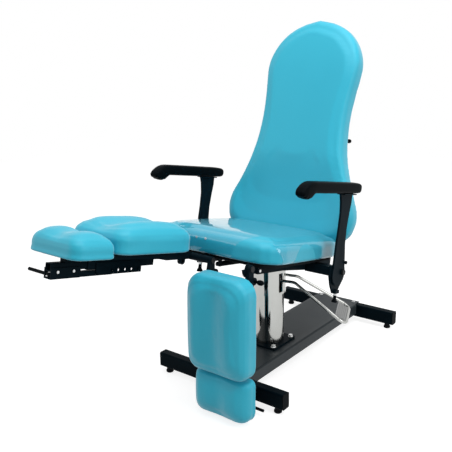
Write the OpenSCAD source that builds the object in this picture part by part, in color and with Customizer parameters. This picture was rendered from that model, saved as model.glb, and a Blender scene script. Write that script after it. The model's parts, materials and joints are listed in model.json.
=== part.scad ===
// Podiatry chair: a hydraulic column on a low steel base, a tilting seat, a reclining back,
// folding armrests and two split leg rests with telescopic foot pads.
// The sitter faces -Y, +Z is up and the floor is at zero. Left is the sitter's left (+X).
// Its left leg rest hangs, and its right one is raised.

/* [Base] */
// Length of each floor tube
tube_l = 600; // [520:10:700]
// Width of the floor tubes, front to back
tube_w = 40; // [34:1:50]
// Height of the floor tubes
tube_h = 60; // [50:1:70]
// Wall of the floor tubes
tube_wall = 2.5; // [2:0.5:4]
// From the column axis to the middle of the front tube
front_reach = 334; // [320:2:380]
// From the column axis to the middle of the rear tube
rear_reach = 595; // [520:5:680]
// Height of the rubber feet
foot_h = 24; // [18:1:32]
// Diameter of the rubber feet
foot_d = 30; // [28:1:36]
// From a foot's middle to the tube's end
foot_inset = 34; // [30:1:60]
// Width of the folded base plate
plate_w = 230; // [210:5:280]
// Depth of the base plate's folded sides
plate_side = 49; // [40:1:56]
// Sheet thickness of the base plate
plate_t = 4; // [3:0.5:6]

/* [Pump] */
// Side of the pump's square flange
flange_w = 160; // [150:2:180]
// Thickness of the pump's flange
flange_t = 8; // [6:1:12]
// Outer diameter of the pump's cylinder
cyl_d = 123; // [116:1:126]
// Length of the sleeve above the cylinder
sleeve_l = 120; // [110:2:140]
// Outer diameter of the sleeve
sleeve_d = 138; // [134:1:146]
// From the seat's surface down to the sleeve's top
head_drop = 150; // [140:1:155]
// Diameter of the lifting ram
ram_d = 60; // [50:1:62]
// How far the ram lifts the seat
lift_stroke = 200; // [150:5:210]

/* [Foot lever] */
// Diameter of the lever's bent rod
lever_d = 12; // [10:0.5:13]
// How far the lever is turned behind the chair's side, in degrees
lever_turn = 23; // [15:1:30]
// From the sleeve's top down to the lever's pivot
lever_drop = 60; // [54:1:70]
// From the column axis to the lever's far end
lever_reach = 324; // [312:4:336]
// Height of the lever's far end
lever_end_z = 226; // [216:2:240]
// Half the distance between the rods at the far end
lever_half_end = 100; // [80:2:120]
// Half the distance between the rods at the pivot
lever_half = 39; // [36:1:40]

/* [Seat] */
// Height of the seat above the floor, at the column
seat_h = 580; // [575:1:600]
// How far the seat leans back, in degrees
seat_tilt = 10; // [6:1:12]
// Width of the seat cushion
seat_w = 560; // [520:5:580]
// From the column axis to the seat's front
seat_front = 390; // [385:1:395]
// From the column axis to the seat's rear
seat_rear = 95; // [90:1:97]
// Thickness of the seat cushion
seat_t = 80; // [70:1:84]
// Thickness of the clear cover's film
cover_t = 1.2; // [0.8:0.1:2]

/* [Seat frame] */
// Height of the side rails
rail_h = 40; // [34:1:46]
// Width of the side rails
rail_w = 20; // [16:1:25]
// From the middle to the outer face of a side rail
rail_x = 220; // [214:1:226]
// Thickness of the seat board
board_t = 12; // [9:1:15]

/* [Back] */
// Length of the back cushion
back_l = 935; // [880:5:960]
// Width of the back cushion
back_w = 600; // [560:5:604]
// Thickness of the back cushion
back_t = 75; // [65:1:80]
// How far the back leans from the seat's normal, in degrees
back_lean = 8; // [7:1:10]
// Size of the square tubes of the back frame
post_w = 25; // [20:1:30]

/* [Leg rests] */
// From the chair's middle to the middle of a leg rest
leg_x = 133; // [131:1:137]
// Slope of the raised leg rest above the seat, in degrees
leg_rise = 2; // [0:0.5:5]
// Slope of the hanging leg rest below the seat, in degrees
leg_drop = 98.5; // [94:0.5:100]
// Width of the calf pads
calf_w = 252; // [240:2:256]
// Length of the calf pads
calf_l = 352; // [344:2:356]
// Thickness of the calf pads at their sides
calf_t = 80; // [74:1:86]
// Width of the foot pads
sole_w = 234; // [220:2:246]
// Length of the foot pads
sole_l = 156; // [140:2:160]
// Thickness of the foot pads at their sides
sole_t = 58; // [52:1:64]
// Size of the sliding square tube
slide_w = 25; // [20:1:28]
// Distance between the stop holes
hole_pitch = 30; // [26:1:32]

/* [Armrests] */
// From the seat cushion's side to the middle of an arm pad
arm_out = 52; // [50:1:60]
// Length of the arm pads
arm_l = 428; // [420:2:440]
// Width of the arm pads
arm_w = 46; // [42:1:50]
// Thickness of the arm pads
arm_t = 42; // [36:1:46]
// Height of the arm pads' underside above the seat
arm_under = 174; // [165:1:200]
// Thickness of the flat uprights
upright_t = 8; // [6:1:10]

/* [Hidden] */

$fn = 48;

// Overrun of every cut
cut = 1;
// Clearances: sides of pieces that pass each other, and a pin in its bore
gap = 0.3;
pin_fit = 0.05;
// Radial room of a bolt in its hole
bolt_room = 0.25;
// Corners and wall of the frames' tubes
frame_r = 3;
frame_wall = 2;

// Directions of the two sides
LEFT = 1;
RIGHT = -1;

// Base
tube_top = foot_h + tube_h;
plate_top = tube_top + plate_t;
tube_r = 6;
fold_r = 7;
cap_t = 4;
cap_plug = 18;
foot_neck = 24;
foot_rim = 9;
plate_bolt_d = 8;
plate_bolt_inset = 26;
plate_bolt_x = plate_w / 2 - plate_bolt_inset;
plate_hex_d = 13;
plate_hex_h = 5;
plate_washer_d = 16;
plate_nut_h = 6.5;

// Pump, hung from the seat's height at the lowest lift
flange_top = plate_top + flange_t;
flange_r = 8;
flange_bolt_d = 10;
flange_bolt_inset = 15;
flange_bolt_x = flange_w / 2 - flange_bolt_inset;
washer_t = 2;
washer_d = 21;
hex_d = 18;
hex_h = 7;
sleeve_top = seat_h - head_drop;
seam_z = sleeve_top - sleeve_l;
sleeve_wall = 3;
ram_bore = ram_d / 2 + pin_fit;
head_rim = 12;
head_r = ram_d / 2 + head_rim;
guide_h = 22;
guide_rim = 6;
guide_r = ram_d / 2 + guide_rim;
slot_room = 5;
slot_w = lever_d + slot_room;
slot_rise = 10;
slot_low = seam_z + slot_rise;
slot_drop = 30;
slot_high = sleeve_top - slot_drop;

// Foot lever, along its own direction
lever_z = sleeve_top - lever_drop;
lever_pin_r = 46;
lever_pin_d = 10;
lever_pin_l = 80;
lever_bend_r = 112;
lever_bend_drop = 4;
lever_bend_z = lever_z - lever_bend_drop;
lever_bend = 26;
eye_r = 11;
lever_eye_t = 14;
lever_start = 7;
rod_up = [0, 0.13, 1];
rod_sides = 14;
lug_half = lever_half - lever_eye_t / 2 - gap;
lug_r = 10;
pedal_t = 4;
pedal_d = 46;
treads = 5;
tread_h = 1.5;
tread_inset = 1;
lever_corners = [
    [lever_pin_r + lever_start, lever_half, lever_z], [lever_bend_r, lever_half + gap, lever_bend_z],
    [lever_reach, lever_half_end, lever_end_z], [lever_reach, -lever_half_end, lever_end_z],
    [lever_bend_r, -lever_half - gap, lever_bend_z], [lever_pin_r + lever_start, -lever_half, lever_z]
];
lever_slope = atan((lever_bend_z - lever_end_z) / (lever_reach - lever_bend_r));
pedal_half = lever_half_end - lever_bend - lever_d / 2;

// Head and tilt
pivot_drop = 118;
pivot_z = seat_h - pivot_drop;
pivot_d = 16;
pivot_rim = 8;
cheek_x = 62;
cheek_t = 8;
cheek_r = 17;
head_plate_t = 8;
head_plate_l = 110;
head_rise = 2;
head_low = sleeve_top + head_rise;
ram_hold = 114;
ram_low = head_low - lift_stroke - ram_hold;
cheek_h = pivot_z - head_low - head_plate_t;
tilt_lug_x = cheek_x + cheek_t + gap;
tilt_lug_t = 8;
tilt_lug_h = 34;
pin_head_d = 22;
pin_head_t = 3;
pivot_s = [0, sin(seat_tilt) * pivot_drop, -cos(seat_tilt) * pivot_drop];

// Seat frame, in the seat's own axes
rail_top = -seat_t - board_t;
bar = 25;
frame_inset = 14;
frame_front = frame_inset - seat_front;
frame_over = 41;
frame_rear = seat_rear + frame_over;
rear_bar_y = frame_rear - frame_inset;
mid_bar_y = -146;
hinge_out = 28;
hinge_y = -seat_front - hinge_out;
hinge_drop = 1;
hinge_z = rail_top - hinge_drop;
hinge_d = 14;
ear_rim = 6;
ear_t = 6;
recline_out = 40;
recline_y = frame_rear + recline_out;
recline_drop = 11;
recline_z = rail_top - recline_drop;
recline_d = 12;
recline_cap_t = 4;
recline_pin_l = 40;
barrel_r = 13;
barrel_half = 143;
rail_screw = 10;
screw_d = 11;
screw_t = 3;
rail_front_h = 23;
rail_mid_h = 25;
rail_mid_y = -220;
rail_step_y = -20;
spine_w = 44;
spine_h = 14;
spine_rise = 2;

// Gas springs, with the lengths of their parts as shares of the eye's radius
eye_bolt_d = 8;
spring_body_d = 22;
spring_rod_d = 10;
spring_eye_r = 9;
spring_eye_t = 11;
spring_neck_share = 0.8;
spring_neck_l_share = 0.6;
spring_end_share = 1.3;
spring_floor_share = 0.15;
crank_r = 50;
crank_t = 6;
crank_rim = 2;
crank_start = 36;
crank_x = 90;
lug_bridge = 13;
recline_spring_l = 340;
recline_body_l = 230;
recline_rod_l = 200;
recline_x = crank_x + crank_t + gap + spring_eye_t / 2;
recline_pin_s = [recline_y + crank_r * sin(crank_start), recline_z - crank_r * cos(crank_start)];
recline_anchor_y = recline_pin_s[0] - recline_spring_l;
tilt_crank_r = 40;
tilt_crank_x = -104;
tilt_x = tilt_crank_x - gap - spring_eye_t / 2;
tilt_spring_l = 200;
tilt_body_l = 130;
tilt_rod_l = 120;
tilt_pin_s = [pivot_s[1] + tilt_crank_r * sin(seat_tilt), pivot_s[2] - tilt_crank_r * cos(seat_tilt)];
tilt_anchor_y = tilt_pin_s[0] - tilt_spring_l;

// Pads: shares of their rings, and the powers and widths of their rises
pad_low_share = 0.3;
pad_bulge_share = 0.02;
pad_edge_share = 0.8;
pad_ring_shares = [0.12, 0.3, 0.52, 0.76];
crown_side_share = 4;
trough_end_share = 6;
trough_w_share = 0.2;
dish_side_share = 6;

// Seat cushion and its cover
seat_mid = (seat_rear - seat_front) / 2;
seat_len = seat_rear + seat_front;
seat_corner = 62;
seat_round = 26;
seat_low_round = 14;
seat_edge_drop = 8;
seat_crown = 22;
seat_rise = [seat_crown, 6, 0, 1, 0, 1, 0, 1];
board_back = 15;
scallop_r = 85;
scallop_x = 200;
scallop_y = -178;
side_scallop = 75;
side_scallop_z = -90;
cover_low = -76;
cover_gap = 0.4;
stud_x = -49;
stud_step = 42;
stud_z = -26;
stud_d = 9;
stud_t = 1.5;

// Spring plungers and their collars
knob_d = 17;
knob_h = 26;
collar_d = 14;
collar_h = 8;
plunger_depth = 3;
plunger_z = hinge_z - hinge_d / 2 - ear_rim;
plunger_pin_d = 7;

// Back, in its own axes: z up the back, y from front to rear
back_in = 5;
back_y = seat_rear - back_in;
back_low = -60;
back_mid = back_low + back_l / 2;
back_round = 30;
back_low_round = 18;
back_edge_drop = 2;
back_crown = 9;
back_dish = 26;
back_dish_half = 275;
dish_end = 300;
dish_fade = 160;
back_rise = [back_crown, 2.5, 0, 1, back_dish, back_dish_half, dish_end - back_mid, dish_fade];
back_board_t = 12;
board_inset = 36;
post_x = 120;
post_y = back_t + back_board_t;
post_top = 560;
post_sink = 2;
hinge_back = (recline_y - back_y) * sin(back_lean) + recline_z * cos(back_lean);
post_len = post_top - hinge_back - barrel_r + post_sink;
post_mid = (post_top + hinge_back + barrel_r - post_sink) / 2;
back_bar_zs = [60, 300, 520];
release_z = 396;
release_gap = 14;
release_y = post_y + post_w + release_gap;
release_d = 12;
release_half = 185;
release_tip_l = 34;

// Leg rests, in the leg's own axes: -y along the leg, z towards the pad, x outwards
calf_start = 28;
calf_gap = 12;
calf_corner_far = 45;
calf_corner_near = 55;
calf_round = 32;
calf_low_round = 10;
calf_crown = 26;
calf_trough = 24;
calf_rise = [calf_crown, 2.5, calf_trough, calf_w * trough_w_share, 0, 1, 0, 1];
pad_base = 20;
sole_start = calf_start + calf_l + calf_gap;
sole_base = 9;
sole_corner_far = 38;
sole_corner_near = 21;
sole_round = 27;
sole_low_round = 8;
sole_crown = 25;
sole_trough = 15;
sole_rise = [sole_crown, 2.5, sole_trough, sole_w * trough_w_share, 0, 1, 0, 1];
sole_plate_t = 5;
sole_plate_w_share = 0.6;
sole_plate_l_share = 0.7;
post_l = 56;
leg_rail_x = 84;
leg_rail_w = 14;
leg_rail_h = 30;
leg_rail_short = 9;
leg_rail_end = calf_start + calf_l - leg_rail_short;
leg_bar_w = 34;
leg_bar_t = 4;
leg_bar_near = 127;
leg_bar_far = leg_rail_end - leg_bar_w;
guide_start = 115;
guide_over = 19;
guide_l = sole_start + guide_over - guide_start;
guide_wall = 2.5;
guide_w = slide_w + 2 * guide_wall + 2 * gap;
guide_top = pad_base - leg_rail_h;
catch_t = 4;
catch_h = 49;
catch_top_share = 0.3;
catch_start = 177;
catch_l = 202;
catch_chamfer = 14;
catch_first = 221;
catch_holes = 4;
catch_hole_d = 9;
catch_pin_room = 1;
catch_rise = 12;
catch_z = guide_top - catch_h + catch_rise;
catch_last = catch_first + (catch_holes - 1) * hole_pitch;
catch_stud_inset = 13;
catch_stud_d = 10;
catch_stud_t = 3;
slide_l = 400;
slide_over = 3;
slide_front = sole_start + sole_l + slide_over;
slide_start = slide_front - slide_l;
slide_mid_z = guide_top - guide_w / 2;
slide_r = 2.5;
slide_wall = 2;
bracket_l = 112;
bracket_h = 34;
bracket_t = 4;
bracket_drop = 24;
bracket_z = slide_mid_z - slide_w / 2 - bracket_drop;
tongue_t = 18;
tongue_w = 15;
tongue_over = 8;
tongue_l = slide_front - bracket_l - catch_last + tongue_over;
slide_bolt_ys = [24, 84];
slide_bolt_d = 9;
slide_bolt_t = 3;
bolt_rise = 22;
bolt_z = bracket_z + bolt_rise;
lever_inset = 14;
lever_slot = 19;
lever_rod_d = 11;
lever_boss_rim = 1;
lever_boss_room = 2;
lever_boss_h = lever_rod_d + 2 * lever_boss_rim;
slide_lever_l = 96;

// Locks of the leg rests' angle
lock_y = 47;
lock_z = -16;
lock_r = norm([lock_y, lock_z]);
lock_angle = 180 + atan(-lock_z / lock_y);
lock_rim = 9;
lock_lug_r = 13;
lock_d = 10;
lock_knob_d = 19;
lock_knob_h = 24;
knob_neck = 14;
ratchet_x = leg_x + leg_rail_x - leg_rail_w / 2 - gap - ear_t;
ratchet_r = 32;
ratchet_edge = 11;
ratchet_step = 15;
notches = 7;
notch_r = 2.6;
pawl_r = 8;
pawl_nose = 5;
pawl_root = 6.5;
inner_ear_x = leg_x - leg_rail_x - leg_rail_w / 2 - gap;
inner_pin_l = 24;

// Armrests, in the seat's own axes
arm_x = seat_w / 2 + arm_out;
arm_front = -348;
arm_corner_share = 0.55;
arm_sides = 16;
arm_pivot = [18, -124];
arm_pivot_d = 12;
arm_plate_t = 6;
bracket_x = arm_x - upright_t / 2 - gap - arm_plate_t;
bracket_half = 66;
bracket_gap = 2;
bracket_top = rail_top - bracket_gap;
arm_box_y = -62;
arm_box_l = 50;
arm_box_wall = 3;
arm_box_h = rail_h - 2 * arm_box_wall;
arm_foot_in = 1;
arm_foot_x = arm_x - arm_foot_in;
arm_foot_y = -12;
arm_foot_t = 12;
arm_foot_l = 28;
arm_foot_edge = 9;
arm_foot_low = -202;
upright_low = -100;
upright_half = 47;
upright_y = -10;
lobe_r = 47;
lobe_drop = 2;
arm_flange_t = 4;
arm_flange_in_share = 0.3;
arm_flange_share = 0.7;
arm_stud_d = 13;
arm_stud_h = 7;
arm_stud_inset = 4;
arm_stud_rise = 36;
arm_nut_d = 20;
arm_nut_t = 4;
arm_head_d = 22;
arm_head_t = 8;

// Middle of the footprint, from the column's axis
leg_up = seat_tilt + leg_rise;
hinge_reach = -hinge_y * cos(seat_tilt) - hinge_z * sin(seat_tilt);
front_most = hinge_reach + slide_front * cos(leg_up) - bracket_z * sin(leg_up);
origin_y = (front_most - rear_reach - tube_w / 2) / 2;

// Profiles as shares

// Back cushion outline, bottom to top: share of the length, share of the half width
back_shares = [
    [0, 0.30], [0.010, 0.58], [0.032, 0.80], [0.066, 0.94], [0.102, 0.985], [0.140, 1],
    [0.182, 0.975], [0.234, 0.905], [0.298, 0.822], [0.372, 0.737], [0.445, 0.685],
    [0.516, 0.661], [0.587, 0.656], [0.658, 0.668], [0.729, 0.693], [0.786, 0.710],
    [0.834, 0.690], [0.890, 0.612], [0.940, 0.478], [0.974, 0.300], [0.993, 0.130]
];
// Arm pad, rear to front of its length: share of its thickness at the top and below, share of its half width
arm_top_shares = [[0, 0.42], [0.012, 0.55], [0.04, 0.78], [0.09, 0.92], [0.16, 0.98], [0.30, 1],
    [0.80, 1], [0.92, 0.95], [0.97, 0.84], [1, 0.56]];
arm_low_shares = [[0, 0.20], [0.008, -0.12], [0.022, -0.42], [0.04, -0.48], [0.07, -0.38], [0.095, -0.28],
    [0.12, -0.12], [0.15, 0], [0.80, 0], [0.95, 0.04], [0.985, 0.16], [1, 0.44]];
arm_half_shares = [[0, 0.62], [0.02, 0.84], [0.06, 0.96], [0.15, 1], [0.85, 1], [0.95, 0.94],
    [0.985, 0.78], [1, 0.55]];
arm_station_shares = [0, 0.008, 0.022, 0.04, 0.07, 0.095, 0.12, 0.15, 0.22, 0.30, 0.45, 0.60, 0.80, 0.92,
    0.965, 0.985, 1];
// Front and rear edge of an upright: share of its height, share of its top width
upright_front_shares = [[0, -0.46], [0.30, -0.42], [0.55, -0.36], [0.75, -0.35], [0.90, -0.42], [1, -0.52]];
upright_rear_shares = [[1, 0.44], [0.88, 0.43], [0.74, 0.35], [0.52, 0.26], [0.32, 0.27], [0, 0.44]];
// Plate that carries an upright: share of its half length, share of the way down
bracket_shares = [[-0.97, 0], [0.70, 0], [0.76, 0.24], [0.67, 0.59], [0.24, 0.89], [0.09, 1], [-0.42, 1],
    [-0.76, 0.69], [-1, 0.33]];
// Rail of a leg rest, far end to near: share of its length, share of its height
leg_rail_shares = [[1, 0], [1, 0.55], [0.45, 0.8], [0.36, 1], [0, 1]];
// Turned knobs and tips: share of the diameter, share of the height
plunger_shares = [[0.62, 0], [0.66, 0.08], [0.62, 0.18], [0.38, 0.45], [0.33, 1]];
lock_knob_shares = [[0.32, 0], [0.45, 0.17], [0.5, 0.46], [0.45, 0.75], [0.26, 0.96]];
tip_shares = [[0.6, 0], [0.7, 0.18], [0.7, 0.82], [0.5, 0.97]];

// One square with round corners, exact arcs
module round_square(w, h, r) {
    square([w - 2 * r, h], center = true);
    square([w, h - 2 * r], center = true);
    for (x = [-1, 1], y = [-1, 1])
        translate([x * (w / 2 - r), y * (h / 2 - r)]) circle(r);
}

// A cylinder along X, centred
module pin_x(d, l) rotate([0, 90, 0]) cylinder(d = d, h = l, center = true);

// A hexagon head with its washer, standing on zero
module hex_head(d, h, disc_d, disc_t) {
    cylinder(d = disc_d, h = disc_t);
    translate([0, 0, disc_t]) cylinder(d = d, h = h, $fn = 6);
}
// Outline of a turned piece, from the shares of its diameter and height
function turned_outline(shares, d, h) = concat([[0, 0]], [for (p = shares) [d * p[0], h * p[1]]], [[0, h]]);

// Places
module at_floor() translate([0, origin_y, 0]) children();
module at_seat() translate([0, origin_y, seat_h]) rotate([-seat_tilt, 0, 0]) children();
module at_back() at_seat() translate([0, back_y, 0]) rotate([-back_lean, 0, 0]) children();
module side_of(side) mirror([side < 0 ? 1 : 0, 0, 0]) children();
module at_leg(side)
    at_seat() translate([side * leg_x, hinge_y, hinge_z])
        rotate([side > 0 ? leg_drop : -leg_rise, 0, 0]) side_of(side) children();
module at_arm(side) at_seat() side_of(side) children();
module turned() rotate([0, 0, lever_turn]) children();
module at_lever() at_floor() turned() children();

// Soft forms: rings of one outline from the underside to the crown
function arc_points(c, r, a, n) = [for (i = [0:n]) c + r * [cos(a + 90 * i / n), sin(a + 90 * i / n)]];
function between(p, q, n) = [for (i = [1:n - 1]) p + (q - p) * i / n];
function pad_outline(hw, hl, r_low, r_high, n, m) = concat(
    arc_points([hw - r_high, hl - r_high], r_high, 0, n),
    between([hw - r_high, hl], [r_high - hw, hl], m),
    arc_points([r_high - hw, hl - r_high], r_high, 90, n),
    between([-hw, hl - r_high], [-hw, r_low - hl], m),
    arc_points([r_low - hw, r_low - hl], r_low, 180, n),
    between([r_low - hw, -hl], [hw - r_low, -hl], m),
    arc_points([hw - r_low, r_low - hl], r_low, 270, n),
    between([hw, r_low - hl], [hw, hl - r_high], m));
// Rise of the upper surface over a pad: its crown, less a trough along it and a dish at its low end.
// rise holds the crown and its falloff, the trough and its width, and the dish's depth, width, end and fade
function falloff(u, power) = 1 - pow(min(1, abs(u)), power);
function pad_rise(x, y, hw, hl, rise) =
    rise[0] * falloff(x / hw, crown_side_share) * falloff(y / hl, rise[1])
    - rise[2] * exp(-pow(x / rise[3], 2)) * falloff(y / hl, trough_end_share)
    - rise[4] * falloff(x / rise[5], dish_side_share) * max(0, min(1, (rise[6] - y) / rise[7]));
// Rings of a pad: inset, height and share of the rise
function pad_rings(t, r_top, r_low, hw) = concat(
    [[r_low, 0, 0], [r_low * pad_low_share, r_low * pad_low_share, 0], [0, r_low, 0],
        [r_top * pad_bulge_share, (t - r_top + r_low) / 2, 0]],
    [for (a = [0:30:90]) [r_top * (1 - cos(a)), t - r_top + r_top * sin(a), sin(a) * pad_edge_share]],
    [for (share = pad_ring_shares) [r_top + (hw - r_top) * share, t, 1]]);
function ring_points(outline, ring, hw, hl, rise) =
    [for (p = outline) let (x = p[0] * (1 - ring[0] / hw), y = p[1] * (1 - ring[0] / hw))
        [x, y, ring[1] + ring[2] * pad_rise(x, y, hw, hl, rise)]];
module pad_solid(outline, hw, hl, t, r_top, r_low, rise) {
    n = len(outline);
    rings = pad_rings(t, r_top, r_low, hw);
    last = len(rings) - 1;
    points = concat(
        [for (ring = rings) each ring_points(outline, ring, hw, hl, rise)],
        [[0, 0, 0], [0, 0, t + pad_rise(0, 0, hw, hl, rise)]]);
    low = (last + 1) * n;
    faces = concat(
        [for (k = [0:last - 1], i = [0:n - 1]) let (j = (i + 1) % n) [k * n + i, (k + 1) * n + j, k * n + j]],
        [for (k = [0:last - 1], i = [0:n - 1]) let (j = (i + 1) % n)
            [k * n + i, (k + 1) * n + i, (k + 1) * n + j]],
        [for (i = [0:n - 1]) [low, i, (i + 1) % n]],
        [for (i = [0:n - 1]) [low + 1, last * n + (i + 1) % n, last * n + i]]);
    polyhedron(points, faces, convexity = 4);
}

// A bent round rod swept along a path with rounded corners
function unit(v) = v / norm(v);
function bend_points(p, q, s, r, n) =
    let (a = q + unit(p - q) * r, b = q + unit(s - q) * r)
    [for (i = [0:n]) let (t = i / n) a * (1 - t) * (1 - t) + q * 2 * t * (1 - t) + b * t * t];
function rod_path(points, r, n) = concat([points[0]],
    [for (i = [1:len(points) - 2]) each bend_points(points[i - 1], points[i], points[i + 1], r, n)],
    [points[len(points) - 1]]);
function tube_faces(n, sides) = concat(
    [[for (k = [sides - 1:-1:0]) k]],
    [for (i = [0:n - 2], k = [0:sides - 1]) let (m = (k + 1) % sides)
        each [[i * sides + k, (i + 1) * sides + m, (i + 1) * sides + k],
            [i * sides + k, i * sides + m, (i + 1) * sides + m]]],
    [[for (k = [0:sides - 1]) (n - 1) * sides + k]]);
module swept_rod(path, d, sides) {
    n = len(path);
    along = [for (i = [0:n - 1]) unit(path[min(i + 1, n - 1)] - path[max(i - 1, 0)])];
    across = [for (u = along) unit(cross(u, rod_up))];
    points = [for (i = [0:n - 1], k = [0:sides - 1])
        let (a = 360 * (k + 0.5) / sides)
        path[i] + d / 2 * (cos(a) * across[i] + sin(a) * cross(across[i], along[i]))];
    polyhedron(points, tube_faces(n, sides), convexity = 6);
}

// Base pieces
module capped(w, h, r) {
    translate([-w / 2, 0]) square([w, h - r]);
    translate([r - w / 2, 0]) square([w - 2 * r, h]);
    for (s = [-1, 1]) translate([s * (w / 2 - r), h - r]) circle(r);
}
module channel(w, h, t, r) difference() {
    capped(w, h, r);
    translate([0, -cut]) capped(w - 2 * t, h - t + cut, r - t);
}
module tube_section(w, h, r, wall) difference() {
    round_square(w, h, r);
    round_square(w - 2 * wall, h - 2 * wall, r - wall);
}
module plate_bolt_places()
    for (s = [-1, 1], y = [-front_reach, rear_reach]) translate([s * plate_bolt_x, y, 0]) children();
module flange_bolt_places()
    for (x = [-1, 1], y = [-1, 1]) translate([x * flange_bolt_x, y * flange_bolt_x, 0]) children();
module base_plate() color([0.20, 0.21, 0.23]) at_floor() difference() {
    union() {
        translate([0, (rear_reach - front_reach) / 2, plate_top - plate_side]) rotate([90, 0, 0])
            linear_extrude(front_reach + rear_reach - tube_w - 2 * gap, center = true)
                channel(plate_w, plate_side, plate_t, fold_r);
        translate([fold_r - plate_w / 2, -front_reach - tube_w / 2, tube_top])
            cube([plate_w - 2 * fold_r, front_reach + rear_reach + tube_w, plate_t]);
    }
    plate_bolt_places() translate([0, 0, tube_top - cut])
        cylinder(r = plate_bolt_d / 2 + bolt_room, h = plate_t + 2 * cut);
    flange_bolt_places() translate([0, 0, tube_top - cut])
        cylinder(r = flange_bolt_d / 2 + bolt_room, h = plate_t + 2 * cut);
}
module floor_tube(y) difference() {
    translate([0, y, foot_h + tube_h / 2]) rotate([90, 0, 90])
        linear_extrude(tube_l - 2 * cap_t, center = true) tube_section(tube_w, tube_h, tube_r, tube_wall);
    plate_bolt_places() translate([0, 0, tube_top - tube_wall - cut])
        cylinder(r = plate_bolt_d / 2 + bolt_room, h = tube_wall + 2 * cut);
}
module front_floor_tube() color([0.10, 0.11, 0.13]) at_floor() floor_tube(-front_reach);
module rear_floor_tube() color([0.10, 0.11, 0.13]) at_floor() floor_tube(rear_reach);
module end_cap() {
    linear_extrude(cap_t) round_square(tube_w, tube_h, tube_r);
    translate([0, 0, -cap_plug]) linear_extrude(cap_plug + cut)
        tube_section(tube_w - 2 * (tube_wall + gap), tube_h - 2 * (tube_wall + gap), tube_r - tube_wall,
            tube_wall);
}
module tube_end_caps() color([0.06, 0.06, 0.07]) at_floor()
    for (s = [-1, 1], y = [-front_reach, rear_reach]) side_of(s)
        translate([tube_l / 2 - cap_t, y, foot_h + tube_h / 2]) rotate([90, 0, 90]) end_cap();
module rubber_foot() rotate_extrude()
    polygon([[0, 0], [foot_d / 2 - foot_rim / 4, 0], [foot_d / 2, foot_rim / 4], [foot_d / 2, foot_rim],
        [foot_neck / 2, foot_rim + (foot_d - foot_neck) / 4], [foot_neck / 2, foot_h], [0, foot_h]]);
module rubber_feet() color([0.05, 0.05, 0.05]) at_floor()
    for (s = [-1, 1], y = [-front_reach, rear_reach])
        translate([s * (tube_l / 2 - foot_inset), y, 0]) rubber_foot();
module plate_bolts() color([0.75, 0.76, 0.78]) at_floor() plate_bolt_places() {
    translate([0, 0, plate_top]) hex_head(plate_hex_d, plate_hex_h, plate_washer_d, washer_t);
    translate([0, 0, tube_top - tube_wall - plate_bolt_d])
        cylinder(d = plate_bolt_d, h = plate_bolt_d + tube_wall + plate_t + cut);
    translate([0, 0, tube_top - tube_wall - plate_nut_h]) cylinder(d = plate_hex_d, h = plate_nut_h, $fn = 6);
}

// Pump pieces
module pump_flange() color([0.10, 0.10, 0.11]) at_floor() translate([0, 0, plate_top]) difference() {
    linear_extrude(flange_t) round_square(flange_w, flange_w, flange_r);
    flange_bolt_places() translate([0, 0, -cut])
        cylinder(r = flange_bolt_d / 2 + bolt_room, h = flange_t + 2 * cut);
}
module flange_bolts() color([0.78, 0.79, 0.80]) at_floor() flange_bolt_places() {
    translate([0, 0, flange_top]) hex_head(hex_d, hex_h, washer_d, washer_t);
    translate([0, 0, tube_top - hex_h - cut])
        cylinder(d = flange_bolt_d, h = flange_top - tube_top + hex_h + 2 * cut);
    translate([0, 0, tube_top - hex_h]) cylinder(d = hex_d, h = hex_h, $fn = 6);
}
module pump_cylinder() color([0.85, 0.85, 0.84]) at_floor() difference() {
    translate([0, 0, flange_top]) cylinder(d = cyl_d, h = seam_z - flange_top);
    translate([0, 0, ram_low - 2 * cut]) cylinder(r = ram_bore, h = seam_z);
}
module pump_sleeve() color([0.88, 0.88, 0.87]) at_floor() difference() {
    translate([0, 0, seam_z]) cylinder(d = sleeve_d, h = sleeve_top - seam_z);
    translate([0, 0, seam_z + sleeve_wall])
        cylinder(d = sleeve_d - 2 * sleeve_wall, h = sleeve_top - seam_z - 2 * sleeve_wall);
    translate([0, 0, seam_z - cut]) cylinder(r = head_r + gap, h = sleeve_wall + 2 * cut);
    translate([0, 0, sleeve_top - sleeve_wall - cut]) cylinder(r = guide_r + gap, h = sleeve_wall + 2 * cut);
    turned() for (s = [-1, 1]) translate([lever_pin_r, s * lever_half - slot_w / 2, slot_low])
        cube([sleeve_d, slot_w, slot_high - slot_low]);
}
module pump_head() color([0.35, 0.35, 0.36]) at_floor() difference() {
    union() {
        translate([0, 0, seam_z]) cylinder(r = head_r, h = sleeve_top - guide_h - seam_z);
        turned() {
            translate([0, -lug_half, lever_z - lug_r]) cube([lever_pin_r, 2 * lug_half, 2 * lug_r]);
            translate([lever_pin_r, lug_half, lever_z]) rotate([90, 0, 0]) cylinder(r = lug_r, h = 2 * lug_half);
        }
    }
    translate([0, 0, seam_z - cut]) cylinder(r = ram_bore, h = sleeve_top);
    turned() translate([lever_pin_r, lug_half + cut, lever_z]) rotate([90, 0, 0])
        cylinder(r = lever_pin_d / 2 + pin_fit, h = 2 * (lug_half + cut));
}
module ram_guide() color([0.72, 0.55, 0.28]) at_floor() translate([0, 0, sleeve_top - guide_h]) difference() {
    cylinder(r = guide_r, h = guide_h);
    translate([0, 0, -cut]) cylinder(r = ram_bore, h = guide_h + 2 * cut);
}
module lever_pin() color([0.70, 0.71, 0.72]) at_lever()
    translate([lever_pin_r, lever_pin_l / 2, lever_z]) rotate([90, 0, 0])
        cylinder(d = lever_pin_d, h = lever_pin_l);
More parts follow.
